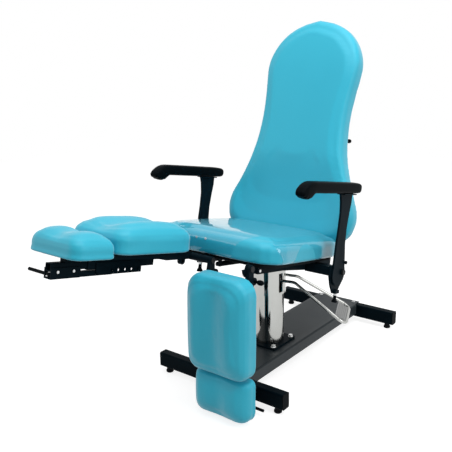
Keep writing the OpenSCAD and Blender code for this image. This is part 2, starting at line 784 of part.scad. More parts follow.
module foot_lever() color([0.80, 0.81, 0.82]) at_lever() {
    swept_rod(rod_path(lever_corners, lever_bend, 5), lever_d, rod_sides);
    for (s = [-1, 1]) translate([lever_pin_r, s * lever_half, lever_z]) rotate([90, 0, 0]) difference() {
        cylinder(r = eye_r, h = lever_eye_t, center = true);
        cylinder(r = lever_pin_d / 2 + pin_fit, h = 2 * lever_d, center = true);
    }
}
module pedal_plate() color([0.72, 0.72, 0.70]) at_lever()
    translate([lever_reach, 0, lever_end_z]) rotate([0, lever_slope, 0]) {
        translate([-lever_d / 2 - gap - pedal_d, -pedal_half, -pedal_t / 2])
            cube([pedal_d, 2 * pedal_half, pedal_t]);
        for (k = [1:treads])
            translate([-lever_d / 2 - pedal_d * k / (treads + 1) - tread_h, tread_inset - pedal_half, pedal_t / 2])
                cube([2 * tread_h, 2 * (pedal_half - tread_inset), tread_h]);
    }

// Ram and head
module lift_ram() color([0.86, 0.86, 0.86]) at_floor()
    translate([0, 0, ram_low]) cylinder(d = ram_d, h = head_low - ram_low);
module cheek_section() difference() {
    union() {
        translate([0, cheek_h]) circle(cheek_r);
        polygon([[-head_plate_l / 2 + cheek_t, 0], [head_plate_l / 2 - cheek_t, 0],
            [cheek_r, cheek_h], [-cheek_r, cheek_h]]);
    }
    translate([0, cheek_h]) circle(pivot_d / 2 + pin_fit);
}
module head_bracket() color([0.10, 0.11, 0.12]) at_floor() translate([0, 0, head_low]) {
    half = cheek_x + cheek_t;
    translate([-half, -head_plate_l / 2, 0]) cube([2 * half, head_plate_l, head_plate_t]);
    for (s = [-1, 1]) side_of(s) translate([cheek_x, 0, head_plate_t]) rotate([90, 0, 90])
        linear_extrude(cheek_t) cheek_section();
    // Arm of the tilt spring, beside the sleeve
    translate([tilt_crank_x, -spring_eye_r, 0]) cube([-tilt_crank_x - half + cut, 2 * spring_eye_r, head_plate_t]);
    translate([tilt_crank_x, 0, pivot_z - head_low - tilt_crank_r]) rotate([90, 0, 90])
        linear_extrude(crank_t) difference() {
            union() {
                circle(spring_eye_r);
                translate([-spring_eye_r, 0]) square([2 * spring_eye_r, tilt_crank_r - cheek_h]);
            }
            circle(eye_bolt_d / 2 + pin_fit);
        }
}
module tilt_pin() color([0.75, 0.76, 0.78]) at_floor() translate([0, 0, pivot_z]) {
    pin_x(pivot_d, 2 * (tilt_lug_x + tilt_lug_t + gap));
    for (s = [-1, 1]) translate([s * (tilt_lug_x + tilt_lug_t + gap + pin_head_t / 2), 0, 0])
        pin_x(pivot_d + pivot_rim, pin_head_t);
}

// Seat frame
module rail_tube(x, w, h, from, to, top) translate([x, (from + to) / 2, top - h / 2]) rotate([90, 0, 0])
    linear_extrude(to - from, center = true) tube_section(w, h, frame_r, frame_wall);
// A side rail: a box that is less deep towards the front
module side_rail() difference() {
    plate_at(rail_x - rail_w, rail_w) polygon([[frame_front, rail_top], [frame_front, rail_top - rail_front_h],
        [rail_mid_y, rail_top - rail_mid_h], [rail_step_y, rail_top - rail_h], [frame_rear, rail_top - rail_h],
        [frame_rear, rail_top]]);
    plate_at(rail_x - rail_w + frame_wall, rail_w - 2 * frame_wall)
        polygon([[frame_front + frame_wall, rail_top - frame_wall],
            [frame_front + frame_wall, rail_top - rail_front_h + frame_wall],
            [rail_mid_y, rail_top - rail_mid_h + frame_wall],
            [rail_step_y, rail_top - rail_h + frame_wall], [frame_rear + cut, rail_top - rail_h + frame_wall],
            [frame_rear + cut, rail_top - frame_wall]]);
}
module cross_bar(y, half) translate([0, y, rail_top - bar / 2]) rotate([90, 0, 90])
    linear_extrude(2 * half, center = true) tube_section(bar, bar, frame_r, frame_wall);
module tilt_lug() difference() {
    union() {
        translate([mid_bar_y, rail_top - tilt_lug_h]) square([rear_bar_y - mid_bar_y, tilt_lug_h]);
        translate([pivot_s[1], pivot_s[2]]) circle(pivot_d / 2 + pivot_rim);
    }
    translate([pivot_s[1], pivot_s[2]]) circle(pivot_d / 2 + pin_fit);
}
module back_ear() difference() {
    union() {
        polygon([[rear_bar_y - bar / 2, rail_top], [rear_bar_y + bar / 2, rail_top],
            [recline_y, recline_z + barrel_r], [recline_y, recline_z - barrel_r],
            [rear_bar_y - bar / 2, rail_top - bar]]);
        translate([recline_y, recline_z]) circle(barrel_r);
    }
    translate([recline_y, recline_z]) circle(recline_d / 2 + pin_fit);
}
// The notched disc that a leg rest's pawl engages, and the arm that joins it to the side rail
module ratchet() difference() {
    union() {
        translate([hinge_y, hinge_z]) circle(hinge_d / 2 + lock_rim);
        intersection() {
            translate([hinge_y, hinge_z]) circle(ratchet_r);
            translate([hinge_y, hinge_z]) polygon(concat([[0, 0]], [for (a =
                [lock_angle - leg_rise - ratchet_edge:ratchet_step:lock_angle + leg_drop + 2 * ratchet_edge])
                2 * ratchet_r * [cos(a), sin(a)]]));
        }
        polygon([[hinge_y, hinge_z + hinge_d / 2], [hinge_y + hinge_d, rail_top], [frame_front + bar, rail_top],
            [frame_front + bar, rail_top - rail_front_h], [hinge_y + hinge_d, hinge_z - hinge_d - ear_rim]]);
    }
    translate([hinge_y, hinge_z]) circle(hinge_d / 2 + pin_fit);
    for (k = [0:notches - 1]) translate([hinge_y, hinge_z])
        rotate([0, 0, lock_angle + (leg_drop + leg_rise) * k / (notches - 1) - leg_rise])
            translate([ratchet_r, 0]) circle(notch_r);
}
module plate_at(x, t) translate([x, 0, 0]) rotate([90, 0, 90]) linear_extrude(t) children();
module spring_lug(y, z) difference() {
    union() {
        translate([y, z]) circle(spring_eye_r);
        translate([y - spring_eye_r, z]) square([2 * spring_eye_r, rail_top - bar - z + cut]);
        translate([min(y - spring_eye_r, mid_bar_y), rail_top - bar - lug_bridge])
            square([abs(y - mid_bar_y) + spring_eye_r, lug_bridge + cut]);
    }
    translate([y, z]) circle(eye_bolt_d / 2 + pin_fit);
}
module seat_frame() color([0.10, 0.11, 0.13]) at_seat() difference() {
    union() {
        for (y = [mid_bar_y, rear_bar_y]) cross_bar(y, rail_x - rail_w + cut);
        rail_tube(0, spine_w, spine_h, hinge_y + hinge_d / 2 + spine_rise, mid_bar_y, rail_top);
        translate([0, hinge_y, hinge_z]) pin_x(hinge_d + 2 * ear_rim, 2 * inner_ear_x);
        for (s = [-1, 1]) side_of(s) {
            plate_at(tilt_lug_x, tilt_lug_t) tilt_lug();
            plate_at(barrel_half + gap, ear_t) back_ear();
            side_rail();
            plate_at(ratchet_x, ear_t) ratchet();
        }
        plate_at(crank_x, crank_t) spring_lug(recline_anchor_y, recline_pin_s[1]);
        plate_at(tilt_crank_x, crank_t) spring_lug(tilt_anchor_y, tilt_pin_s[1]);
    }
    for (s = [-1, 1]) translate([s * (inner_ear_x - inner_pin_l / 2), hinge_y, hinge_z])
        pin_x(hinge_d + 2 * pin_fit, inner_pin_l + 2 * cut);
    translate([0, hinge_y, hinge_z - hinge_d / 2 - ear_rim - cut])
        cylinder(d = plunger_pin_d + 2 * pin_fit, h = plunger_depth + cut);
}
module hinge_pin(from, to) translate([from, hinge_y, hinge_z]) rotate([0, 90, 0]) {
    cylinder(d = hinge_d, h = to - from);
    translate([0, 0, -pin_head_t]) cylinder(d = pin_head_d, h = pin_head_t);
    translate([0, 0, to - from]) cylinder(d = pin_head_d, h = pin_head_t);
}
module leg_hinge_pins() color([0.70, 0.71, 0.72]) at_seat() for (s = [-1, 1]) side_of(s) {
    hinge_pin(ratchet_x - gap, leg_x + leg_rail_x + leg_rail_w / 2 + gap);
    translate([inner_ear_x - inner_pin_l, hinge_y, hinge_z]) rotate([0, 90, 0])
        cylinder(d = hinge_d, h = inner_pin_l + leg_rail_w + 2 * gap);
    translate([inner_ear_x + leg_rail_w + 2 * gap, hinge_y, hinge_z]) rotate([0, 90, 0])
        cylinder(d = pin_head_d, h = pin_head_t);
}
module seat_outline(inset) translate([0, seat_mid])
    round_square(seat_w - 2 * inset, seat_len - 2 * inset, seat_corner - inset);
module seat_board() color([0.07, 0.07, 0.08]) at_seat() translate([0, 0, rail_top])
    linear_extrude(board_t) seat_outline(board_back);
module seat_form(grow) translate([0, seat_mid, -seat_t - grow]) pad_solid(
    pad_outline(seat_w / 2 + grow, seat_len / 2 + grow, seat_corner + seat_round, seat_corner, 4, 5),
    seat_w / 2 + grow, seat_len / 2 + grow, seat_t - seat_edge_drop + 2 * grow, seat_round + grow,
    seat_low_round, seat_rise);
module seat_cushion() color([0.27, 0.70, 0.80]) at_seat() seat_form(0);
module seat_cover() color([0.75, 0.88, 0.90, 0.4]) at_seat() difference() {
    seat_form(cover_gap + cover_t);
    seat_form(cover_gap);
    translate([-seat_w, -2 * seat_front, cover_low - seat_t]) cube([2 * seat_w, 4 * seat_front, seat_t]);
    for (s = [-1, 1]) {
        translate([s * scallop_x, seat_corner - seat_front, cover_low]) rotate([90, 0, 0])
            cylinder(r = scallop_r, h = 2 * seat_corner);
        translate([s * (seat_w / 2 - seat_corner / 2), scallop_y, side_scallop_z]) rotate([0, s * 90, 0])
            cylinder(r = side_scallop, h = seat_corner);
    }
}
module cover_studs() color([0.85, 0.86, 0.87]) at_seat() for (x = [0, stud_step])
    translate([stud_x + x, -seat_front - cover_gap - cover_t, stud_z]) rotate([90, 0, 0]) {
        cylinder(d = stud_d, h = stud_t);
        translate([0, 0, stud_t]) cylinder(d1 = stud_d, d2 = stud_d / 2, h = stud_t);
    }
module plunger_collar() difference() {
    cylinder(d = collar_d, h = collar_h);
    translate([0, 0, -cut]) cylinder(d = plunger_pin_d + 2 * pin_fit, h = collar_h + 2 * cut);
}
module frame_screws() color([0.80, 0.81, 0.82]) at_seat() for (s = [-1, 1]) side_of(s) {
    translate([rail_x, frame_front + rail_screw, rail_top - rail_front_h / 2]) rotate([0, 90, 0])
        cylinder(d = screw_d, h = screw_t);
    translate([arm_foot_x, arm_foot_y, arm_foot_low - collar_h]) plunger_collar();
    if (s > 0) translate([0, hinge_y, plunger_z - collar_h]) plunger_collar();
}
// A plunger: its pin upwards from zero, its flared knob below
module plunger(pin_l) {
    cylinder(d = plunger_pin_d, h = pin_l);
    translate([0, 0, -knob_h]) rotate_extrude() polygon(turned_outline(plunger_shares, knob_d, knob_h));
}
module front_plunger() color([0.05, 0.05, 0.06]) at_seat()
    translate([0, hinge_y, plunger_z - collar_h - gap]) plunger(collar_h + gap + plunger_depth - cut);

// Gas springs, along the seat: body from the anchor eye, rod to the moving eye
module spring_body(x, y, z, l, side) at_seat() translate([x, y, z]) {
    pin_x(2 * spring_eye_r, spring_eye_t);
    translate([side * (crank_t + gap) / 2, 0, 0]) pin_x(eye_bolt_d, spring_eye_t + crank_t + gap);
    translate([0, spring_eye_r * spring_neck_share, 0]) rotate([-90, 0, 0])
        cylinder(d = spring_rod_d, h = spring_eye_r * spring_neck_l_share);
    translate([0, spring_eye_r * spring_end_share, 0]) rotate([-90, 0, 0]) difference() {
        cylinder(d = spring_body_d, h = l);
        translate([0, 0, l * spring_floor_share]) cylinder(r = spring_rod_d / 2 + pin_fit, h = l);
    }
}
module spring_rod(x, y, z, l, total) at_seat() translate([x, y + total, z]) {
    pin_x(2 * spring_eye_r, spring_eye_t);
    translate([0, -spring_eye_r * spring_neck_share, 0]) rotate([90, 0, 0]) cylinder(d = spring_rod_d, h = l);
}
module tilt_spring_body() color([0.08, 0.08, 0.09])
    spring_body(tilt_x, tilt_anchor_y, tilt_pin_s[1], tilt_body_l, 1);
module tilt_spring_rod() color([0.80, 0.81, 0.82])
    spring_rod(tilt_x, tilt_anchor_y, tilt_pin_s[1], tilt_rod_l, tilt_spring_l);
module recline_spring_body() color([0.08, 0.08, 0.09])
    spring_body(recline_x, recline_anchor_y, recline_pin_s[1], recline_body_l, -1);
module recline_spring_rod() color([0.80, 0.81, 0.82])
    spring_rod(recline_x, recline_anchor_y, recline_pin_s[1], recline_rod_l, recline_spring_l);

// Back
function back_width(i) = let (n = len(back_shares) - 1, k = min(n, max(0, i))) back_w / 2 * back_shares[k][1];
function back_height(i) = let (n = len(back_shares) - 1, k = min(n, max(0, i))) back_l * (back_shares[k][0] - 0.5);
function spline(a, b, c, d, t) = 0.5 * (2 * b + (c - a) * t + (2 * a - 5 * b + 4 * c - d) * t * t
    + (3 * b - a - 3 * c + d) * t * t * t);
function back_side(n) = [for (i = [0:len(back_shares) - 2], k = [0:n - 1]) let (t = k / n)
    [spline(back_width(i - 1), back_width(i), back_width(i + 1), back_width(i + 2), t),
     spline(back_height(i - 1), back_height(i), back_height(i + 1), back_height(i + 2), t)]];
function back_outline(n) = let (side = back_side(n), m = len(side))
    concat([for (i = [0:m - 1]) side[i]], [[0, back_l / 2]], [for (i = [m - 1:-1:0]) [-side[i][0], side[i][1]]]);
module back_cushion() color([0.27, 0.70, 0.80]) at_back() translate([0, back_t, back_mid]) rotate([90, 0, 0])
    pad_solid(back_outline(2), back_w / 2, back_l / 2, back_t - back_edge_drop, back_round, back_low_round,
        back_rise);
module back_board() color([0.08, 0.08, 0.09]) at_back() translate([0, post_y, back_mid]) rotate([90, 0, 0])
    linear_extrude(back_board_t) polygon([for (p = back_outline(2))
        [p[0] * (1 - 2 * board_inset / back_w), p[1] * (1 - 2 * board_inset / back_l)]]);
module back_frame() color([0.10, 0.11, 0.13]) {
    at_back() for (s = [-1, 1]) translate([s * post_x, post_y + post_w / 2, post_mid])
        linear_extrude(post_len, center = true) tube_section(post_w, post_w, frame_r, frame_wall);
    at_back() for (z = back_bar_zs) translate([0, post_y + post_w / 2, z]) rotate([90, 0, 90])
        linear_extrude(2 * post_x - post_w + cut, center = true)
            tube_section(post_w, post_w, frame_r, frame_wall);
    at_back() for (s = [-1, 1]) side_of(s)
        translate([post_x - post_w / 2, post_y + post_w - cut, release_z - barrel_r]) difference() {
            cube([crank_t, 2 * barrel_r + cut, 2 * barrel_r]);
            translate([-cut, release_gap + cut, barrel_r]) rotate([0, 90, 0])
                cylinder(r = release_d / 2 + pin_fit, h = crank_t + 2 * cut);
        }
    at_seat() translate([0, recline_y, recline_z]) difference() {
        pin_x(2 * barrel_r, 2 * barrel_half);
        pin_x(recline_d + 2 * pin_fit, 2 * barrel_half + 2 * cut);
    }
    at_seat() plate_at(crank_x, crank_t) difference() {
        translate([recline_y, recline_z]) rotate([0, 0, crank_start - 90]) {
            circle(barrel_r + crank_rim);
            translate([0, -spring_eye_r]) square([crank_r, 2 * spring_eye_r]);
            translate([crank_r, 0]) circle(spring_eye_r);
        }
        translate([recline_y, recline_z]) circle(barrel_r - cut);
        translate(recline_pin_s) circle(eye_bolt_d / 2 + pin_fit);
    }
}
module recline_pins() color([0.72, 0.73, 0.74]) at_seat() for (s = [-1, 1]) side_of(s)
    translate([barrel_half + gap + ear_t, recline_y, recline_z]) rotate([0, 90, 0]) {
        cylinder(d = 2 * barrel_r - recline_cap_t, h = recline_cap_t);
        translate([0, 0, -recline_pin_l]) cylinder(d = recline_d, h = recline_pin_l + cut);
    }
module release_bar() color([0.05, 0.05, 0.06]) at_back() translate([0, release_y, release_z]) {
    pin_x(release_d, 2 * (release_half - release_tip_l + cut));
    for (s = [-1, 1]) side_of(s) translate([release_half - release_tip_l, 0, 0]) rotate([0, 90, 0])
        rotate_extrude() polygon(turned_outline(tip_shares, release_d, release_tip_l));
}

// Leg rests
module calf_cushion(side) color([0.27, 0.70, 0.80]) at_leg(side)
    translate([0, -calf_start - calf_l / 2, pad_base]) pad_solid(
        pad_outline(calf_w / 2, calf_l / 2, calf_corner_far, calf_corner_near, 4, 5),
        calf_w / 2, calf_l / 2, calf_t, calf_round, calf_low_round, calf_rise);
module sole_cushion(side) color([0.27, 0.70, 0.80]) at_leg(side)
    translate([0, -sole_start - sole_l / 2, sole_base]) pad_solid(
        pad_outline(sole_w / 2, sole_l / 2, sole_corner_far, sole_corner_near, 4, 5),
        sole_w / 2, sole_l / 2, sole_t, sole_round, sole_low_round, sole_rise);
module calf_cushion_left() calf_cushion(LEFT);
module calf_cushion_right() calf_cushion(RIGHT);
module sole_cushion_left() sole_cushion(LEFT);
module sole_cushion_right() sole_cushion(RIGHT);
module leg_rail_section() difference() {
    union() {
        circle(hinge_d / 2 + ear_rim);
        polygon(concat([for (p = leg_rail_shares) [-leg_rail_end * p[0], pad_base - leg_rail_h * p[1]]],
            [[0, hinge_d / 2 + ear_rim], [-calf_start, pad_base]]));
        translate([-lock_y, lock_z]) circle(lock_lug_r);
        translate([-lock_y - lock_lug_r, lock_z]) square([2 * lock_lug_r, pad_base - lock_z - cut]);
    }
    circle(hinge_d / 2 + pin_fit);
    translate([-lock_y, lock_z]) circle(lock_d / 2 + pin_fit);
}
module leg_frame(side) color([0.10, 0.11, 0.13]) at_leg(side) {
    for (x = [-leg_rail_x, leg_rail_x]) plate_at(x - leg_rail_w / 2, leg_rail_w) leg_rail_section();
    for (y = [leg_bar_near, leg_bar_far]) {
        translate([-leg_rail_x, -y - leg_bar_w, pad_base - leg_bar_t])
            cube([2 * leg_rail_x, leg_bar_w, leg_bar_t]);
        translate([-guide_w / 2, -y - leg_bar_w, guide_top - cut])
            cube([guide_w, leg_bar_w, pad_base - guide_top + cut]);
    }
    translate([0, -guide_start - guide_l / 2, guide_top - guide_w / 2]) rotate([90, 0, 0])
        linear_extrude(guide_l, center = true) tube_section(guide_w, guide_w, frame_r, guide_wall);
    plate_at(-guide_w / 2 - catch_t, catch_t) difference() {
        polygon([[-catch_start, guide_top - guide_w * catch_top_share], [-catch_start, guide_top - catch_h],
            [catch_chamfer - catch_start - catch_l, guide_top - catch_h], [-catch_start - catch_l, catch_z],
            [-catch_start - catch_l, guide_top - guide_w * catch_top_share]]);
        for (k = [0:catch_holes - 1]) translate([-catch_first - k * hole_pitch, catch_z]) circle(d = catch_hole_d);
    }
    translate([-guide_w / 2 - catch_t, -catch_start - catch_stud_inset, catch_z]) rotate([0, -90, 0])
        cylinder(d = catch_stud_d, h = catch_stud_t);
}
module leg_frame_left() leg_frame(LEFT);
module leg_frame_right() leg_frame(RIGHT);
module foot_slide(side) color([0.08, 0.09, 0.10]) at_leg(side) {
    translate([0, -slide_start - slide_l / 2, slide_mid_z]) rotate([90, 0, 0])
        linear_extrude(slide_l, center = true) tube_section(slide_w, slide_w, slide_r, slide_wall);
    // Post and plate under the foot pad
    translate([-slide_w / 2, -sole_start - sole_l / 2 - post_l / 2, slide_mid_z + slide_w / 2 - cut])
        cube([slide_w, post_l, sole_base - sole_plate_t - slide_mid_z - slide_w / 2 + 2 * cut]);
    translate([0, -sole_start - sole_l / 2, sole_base - sole_plate_t]) linear_extrude(sole_plate_t)
        square([sole_w * sole_plate_w_share, sole_l * sole_plate_l_share], center = true);
    // Folded bracket under the slide's front end, with the slot of its lever
    translate([0, -slide_front + bracket_l / 2, bracket_z]) difference() {
        rotate([90, 0, 0]) linear_extrude(bracket_l, center = true) difference() {
            translate([-slide_w / 2 - bracket_t, 0]) square([slide_w + 2 * bracket_t, bracket_h]);
            translate([-slide_w / 2, bracket_t]) square([slide_w, bracket_h]);
        }
        translate([slide_w / 2 - cut, lever_inset - bracket_l / 2 - lever_slot / 2, bracket_t + gap])
            cube([bracket_t + 2 * cut, lever_slot, lever_boss_h + gap]);
    }
    // Tongue with the catch pin
    translate([-slide_w / 2, -slide_front + bracket_l - cut, bracket_z]) cube([tongue_w, tongue_l, tongue_t]);
    translate([gap - guide_w / 2, -catch_last, catch_z]) rotate([0, 90, 0])
        cylinder(d = catch_hole_d - catch_pin_room, h = tongue_w);
}
module foot_slide_left() foot_slide(LEFT);
module foot_slide_right() foot_slide(RIGHT);
module slide_bolt_set(side) color([0.75, 0.76, 0.77]) at_leg(side) {
    for (y = slide_bolt_ys) translate([-slide_w / 2 - bracket_t, -slide_front + y, bolt_z]) rotate([0, -90, 0])
        cylinder(d = slide_bolt_d, h = slide_bolt_t);
}
module slide_bolts_left() slide_bolt_set(LEFT);
module slide_bolts_right() slide_bolt_set(RIGHT);
// Pawl, shaft and knob that hold a leg rest at a notch of the ratchet
module pawl() {
    reach = lock_r - ratchet_r - gap;
    translate([-lock_y, lock_z]) circle(pawl_r);
    translate([-lock_y, lock_z]) rotate([0, 0, lock_angle - 180])
        polygon([[0, pawl_root], [reach, pawl_nose / 2], [reach, -pawl_nose / 2], [0, -pawl_root]]);
}
module leg_lock(side) color([0.05, 0.05, 0.06]) at_leg(side) {
    plate_at(ratchet_x - leg_x, ear_t) pawl();
    translate([leg_rail_x - leg_rail_w / 2 - gap - cut, -lock_y, lock_z]) rotate([0, 90, 0]) {
        cylinder(d = lock_d, h = leg_rail_w + knob_neck);
        translate([0, 0, leg_rail_w + knob_neck - cut]) rotate_extrude()
            polygon(turned_outline(lock_knob_shares, lock_knob_d, lock_knob_h));
    }
}
module leg_lock_left() leg_lock(LEFT);
module leg_lock_right() leg_lock(RIGHT);
module slide_lever(side) color([0.05, 0.05, 0.06]) at_leg(side)
    translate([0, -slide_front + lever_inset, bracket_z + bracket_t + gap + lever_boss_h / 2]) {
        cylinder(d = slide_w - 2 * lever_boss_room, h = lever_boss_h, center = true);
        rotate([0, 90, 0]) cylinder(d = lever_rod_d, h = slide_w / 2 + slide_lever_l);
    }
module slide_lever_left() slide_lever(LEFT);
module slide_lever_right() slide_lever(RIGHT);

// Armrests
module arm_pad(side) color([0.06, 0.06, 0.07]) at_arm(side) {
    points = [for (u = arm_station_shares, k = [0:arm_sides - 1])
        let (top = arm_under + arm_t * lookup(u, arm_top_shares),
            low = arm_under + arm_t * lookup(u, arm_low_shares),
            half = arm_w / 2 * lookup(u, arm_half_shares), a = 360 * (k + 0.5) / arm_sides,
            c = sign(cos(a)) * pow(abs(cos(a)), arm_corner_share),
            d = sign(sin(a)) * pow(abs(sin(a)), arm_corner_share))
        [arm_x + half * c, arm_front + arm_l * u, (top + low) / 2 + (top - low) / 2 * d]];
    polyhedron(points, tube_faces(len(arm_station_shares), arm_sides), convexity = 4);
}
module arm_pad_left() arm_pad(LEFT);
module arm_pad_right() arm_pad(RIGHT);
module upright_section() difference() {
    union() {
        polygon([for (p = concat(upright_front_shares, upright_rear_shares))
            [upright_y + p[1] * 2 * upright_half, upright_low + p[0] * (arm_under - upright_low)]]);
        translate([upright_y, arm_pivot[1] - lobe_drop]) circle(lobe_r);
    }
    translate(arm_pivot) circle(arm_pivot_d / 2 + pin_fit);
}
module arm_upright(side) color([0.09, 0.10, 0.12]) at_arm(side) {
    plate_at(arm_x - upright_t / 2, upright_t) upright_section();
    translate([arm_x - arm_w * arm_flange_in_share, upright_y - upright_half, arm_under - arm_flange_t - gap])
        cube([arm_w * arm_flange_share, 2 * upright_half, arm_flange_t]);
    translate([arm_x + upright_t / 2 - cut, upright_y + lobe_r - arm_stud_inset, arm_pivot[1] + arm_stud_rise])
        rotate([0, 90, 0]) cylinder(d = arm_stud_d, h = arm_stud_h);
}
module arm_upright_left() arm_upright(LEFT);
module arm_upright_right() arm_upright(RIGHT);
module bracket_section() difference() {
    polygon([for (p = bracket_shares) [bracket_half * p[0], bracket_top + (arm_foot_low - bracket_top) * p[1]]]);
    translate(arm_pivot) circle(arm_pivot_d / 2 + pin_fit);
}
module arm_bracket(side) color([0.09, 0.10, 0.12]) at_arm(side) difference() {
    union() {
        plate_at(bracket_x, arm_plate_t) bracket_section();
        translate([rail_x, arm_box_y, rail_top - rail_h]) cube([bracket_x - rail_x + cut, arm_box_l, arm_box_h]);
        translate([bracket_x, arm_foot_y - arm_foot_l / 2, arm_foot_low])
            cube([arm_foot_x - bracket_x + arm_foot_edge, arm_foot_l, arm_foot_t]);
    }
    translate([rail_x - cut, arm_box_y + arm_box_wall, rail_top - rail_h + arm_box_wall])
        cube([bracket_x - rail_x, arm_box_l - 2 * arm_box_wall, arm_box_h - 2 * arm_box_wall]);
    translate([arm_foot_x, arm_foot_y, arm_foot_low - cut])
        cylinder(d = plunger_pin_d + 2 * pin_fit, h = arm_foot_t + 2 * cut);
}
module arm_bracket_left() arm_bracket(LEFT);
module arm_bracket_right() arm_bracket(RIGHT);
module arm_plunger(side) color([0.05, 0.05, 0.06]) at_arm(side)
    translate([arm_foot_x, arm_foot_y, arm_foot_low - collar_h - gap]) plunger(collar_h + arm_foot_t);
module arm_plunger_left() arm_plunger(LEFT);
module arm_plunger_right() arm_plunger(RIGHT);
module arm_bolts() color([0.06, 0.06, 0.07]) for (side = [LEFT, RIGHT]) at_arm(side)
    translate([bracket_x, arm_pivot[0], arm_pivot[1]]) rotate([0, 90, 0]) {
        translate([0, 0, -arm_nut_t]) cylinder(d = arm_nut_d, h = arm_nut_t);
        translate([0, 0, -cut]) cylinder(d = arm_pivot_d, h = arm_plate_t + upright_t + 2 * gap + cut);
        translate([0, 0, arm_plate_t + upright_t + 2 * gap]) cylinder(d = arm_head_d, h = arm_head_t);
    }

// Every node
base_plate();
front_floor_tube();
rear_floor_tube();
tube_end_caps();
rubber_feet();
plate_bolts();
pump_flange();
flange_bolts();
pump_cylinder();
pump_sleeve();
pump_head();
ram_guide();
lever_pin();
foot_lever();
pedal_plate();
lift_ram();
head_bracket();
tilt_pin();
seat_frame();
leg_hinge_pins();
seat_board();
seat_cushion();
seat_cover();
cover_studs();
frame_screws();
arm_bracket_left();
arm_bracket_right();
tilt_spring_body();
tilt_spring_rod();
recline_spring_body();
recline_spring_rod();
back_frame();
back_board();
back_cushion();
recline_pins();
release_bar();
leg_frame_left();
leg_frame_right();
calf_cushion_left();
calf_cushion_right();
foot_slide_left();
foot_slide_right();
sole_cushion_left();
sole_cushion_right();
leg_lock_left();
leg_lock_right();
slide_lever_left();
slide_lever_right();
slide_bolts_left();
slide_bolts_right();
front_plunger();
arm_upright_left();
arm_upright_right();
arm_pad_left();
arm_pad_right();
arm_plunger_left();
arm_plunger_right();
arm_bolts();
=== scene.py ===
# %% [markdown]
# # Dressing a podiatry chair
# A chair for foot care stands on a low black base. A chrome pump lifts a tilting seat, the back
# reclines, the armrests fold up, and each leg has its own rest with a foot pad that slides out.
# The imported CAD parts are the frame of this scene: each one already stands in its place, in metres.
# The scene gives every part its finish, eases the edges of the metal, swaps the plain foam solids
# for upholstery that swells, and models the film, the arm pads and the foot lever anew.

import json
import math

import bmesh
import bpy
import numpy as np
from mathutils import Matrix, Vector

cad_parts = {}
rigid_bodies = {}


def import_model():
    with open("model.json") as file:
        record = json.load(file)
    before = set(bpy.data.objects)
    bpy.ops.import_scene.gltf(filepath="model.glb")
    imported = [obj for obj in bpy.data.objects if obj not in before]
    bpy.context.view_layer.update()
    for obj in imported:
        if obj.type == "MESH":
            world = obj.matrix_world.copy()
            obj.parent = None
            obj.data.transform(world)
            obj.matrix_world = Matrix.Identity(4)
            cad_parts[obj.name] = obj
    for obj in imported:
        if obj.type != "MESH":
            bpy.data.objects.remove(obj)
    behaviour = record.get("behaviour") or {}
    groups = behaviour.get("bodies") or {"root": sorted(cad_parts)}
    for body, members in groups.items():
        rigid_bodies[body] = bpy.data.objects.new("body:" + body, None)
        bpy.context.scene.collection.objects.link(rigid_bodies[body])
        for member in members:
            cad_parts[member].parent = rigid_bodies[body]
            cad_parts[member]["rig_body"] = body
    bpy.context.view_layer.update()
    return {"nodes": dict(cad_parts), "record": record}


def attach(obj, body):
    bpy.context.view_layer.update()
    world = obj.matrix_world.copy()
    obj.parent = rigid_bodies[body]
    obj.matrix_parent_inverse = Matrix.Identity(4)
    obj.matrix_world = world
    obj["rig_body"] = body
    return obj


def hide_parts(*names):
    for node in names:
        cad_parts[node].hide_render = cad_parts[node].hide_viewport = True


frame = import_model()
nodes = frame["nodes"]

# %% [markdown]
# ## Where things are
# The seat leans back by ten degrees over the column, and the back and the leg rests lean on from
# it. A piece is easiest to model in the axes of what carries it, so each carrier gets a matrix that
# turns its own axes into those of the room. These are the same numbers as in the CAD source.

# %% Axes of the carriers
COLUMN_Y = 0.182304
SEAT_H = 0.580
SEAT_TILT, BACK_LEAN, BACK_Y = -10, -8, 0.090
LEG_X = 0.133
HINGE = Vector((0, -0.418, -0.093))
LEG_DROP, LEG_RISE = 98.5, -2
LEVER_TURN = 23


def turn(degrees, axis):
    return Matrix.Rotation(math.radians(degrees), 4, axis)


def move(x, y, z):
    return Matrix.Translation((x, y, z))


MIRROR_X = Matrix.Diagonal((-1, 1, 1, 1))
floor_axes = move(0, COLUMN_Y, 0)
seat_axes = move(0, COLUMN_Y, SEAT_H) @ turn(SEAT_TILT, "X")
back_axes = seat_axes @ move(0, BACK_Y, 0) @ turn(BACK_LEAN, "X")
lever_axes = floor_axes @ turn(LEVER_TURN, "Z")


def side_sign(side):
    return 1 if side == "left" else -1


def leg_axes(side):
    slope = LEG_DROP if side == "left" else LEG_RISE
    at_hinge = seat_axes @ move(side_sign(side) * LEG_X, HINGE.y, HINGE.z) @ turn(slope, "X")
    return at_hinge if side == "left" else at_hinge @ MIRROR_X


def arm_axes(side):
    return seat_axes if side == "left" else seat_axes @ MIRROR_X


SIDES = ("left", "right")
print("hinge of the left leg rest:", [round(v, 3) for v in leg_axes("left").translation])

# %% [markdown]
# ## The camera
# The photograph was measured from the chair's own right angles, which gave the place of the camera,
# its three turns and its focal length in pixels. A camera looks along its own -Z, so its matrix has
# the picture's right, the picture's up and the backward direction as its columns.

# %% Camera
PICTURE = 452
FOCAL_PIXELS = 637.689
YAW, PITCH, ROLL = (math.radians(a) for a in (38.2984, 14.5849, -1.1292))
CAMERA_AT = (1.4083, -2.0634 + COLUMN_Y, 1.2372)

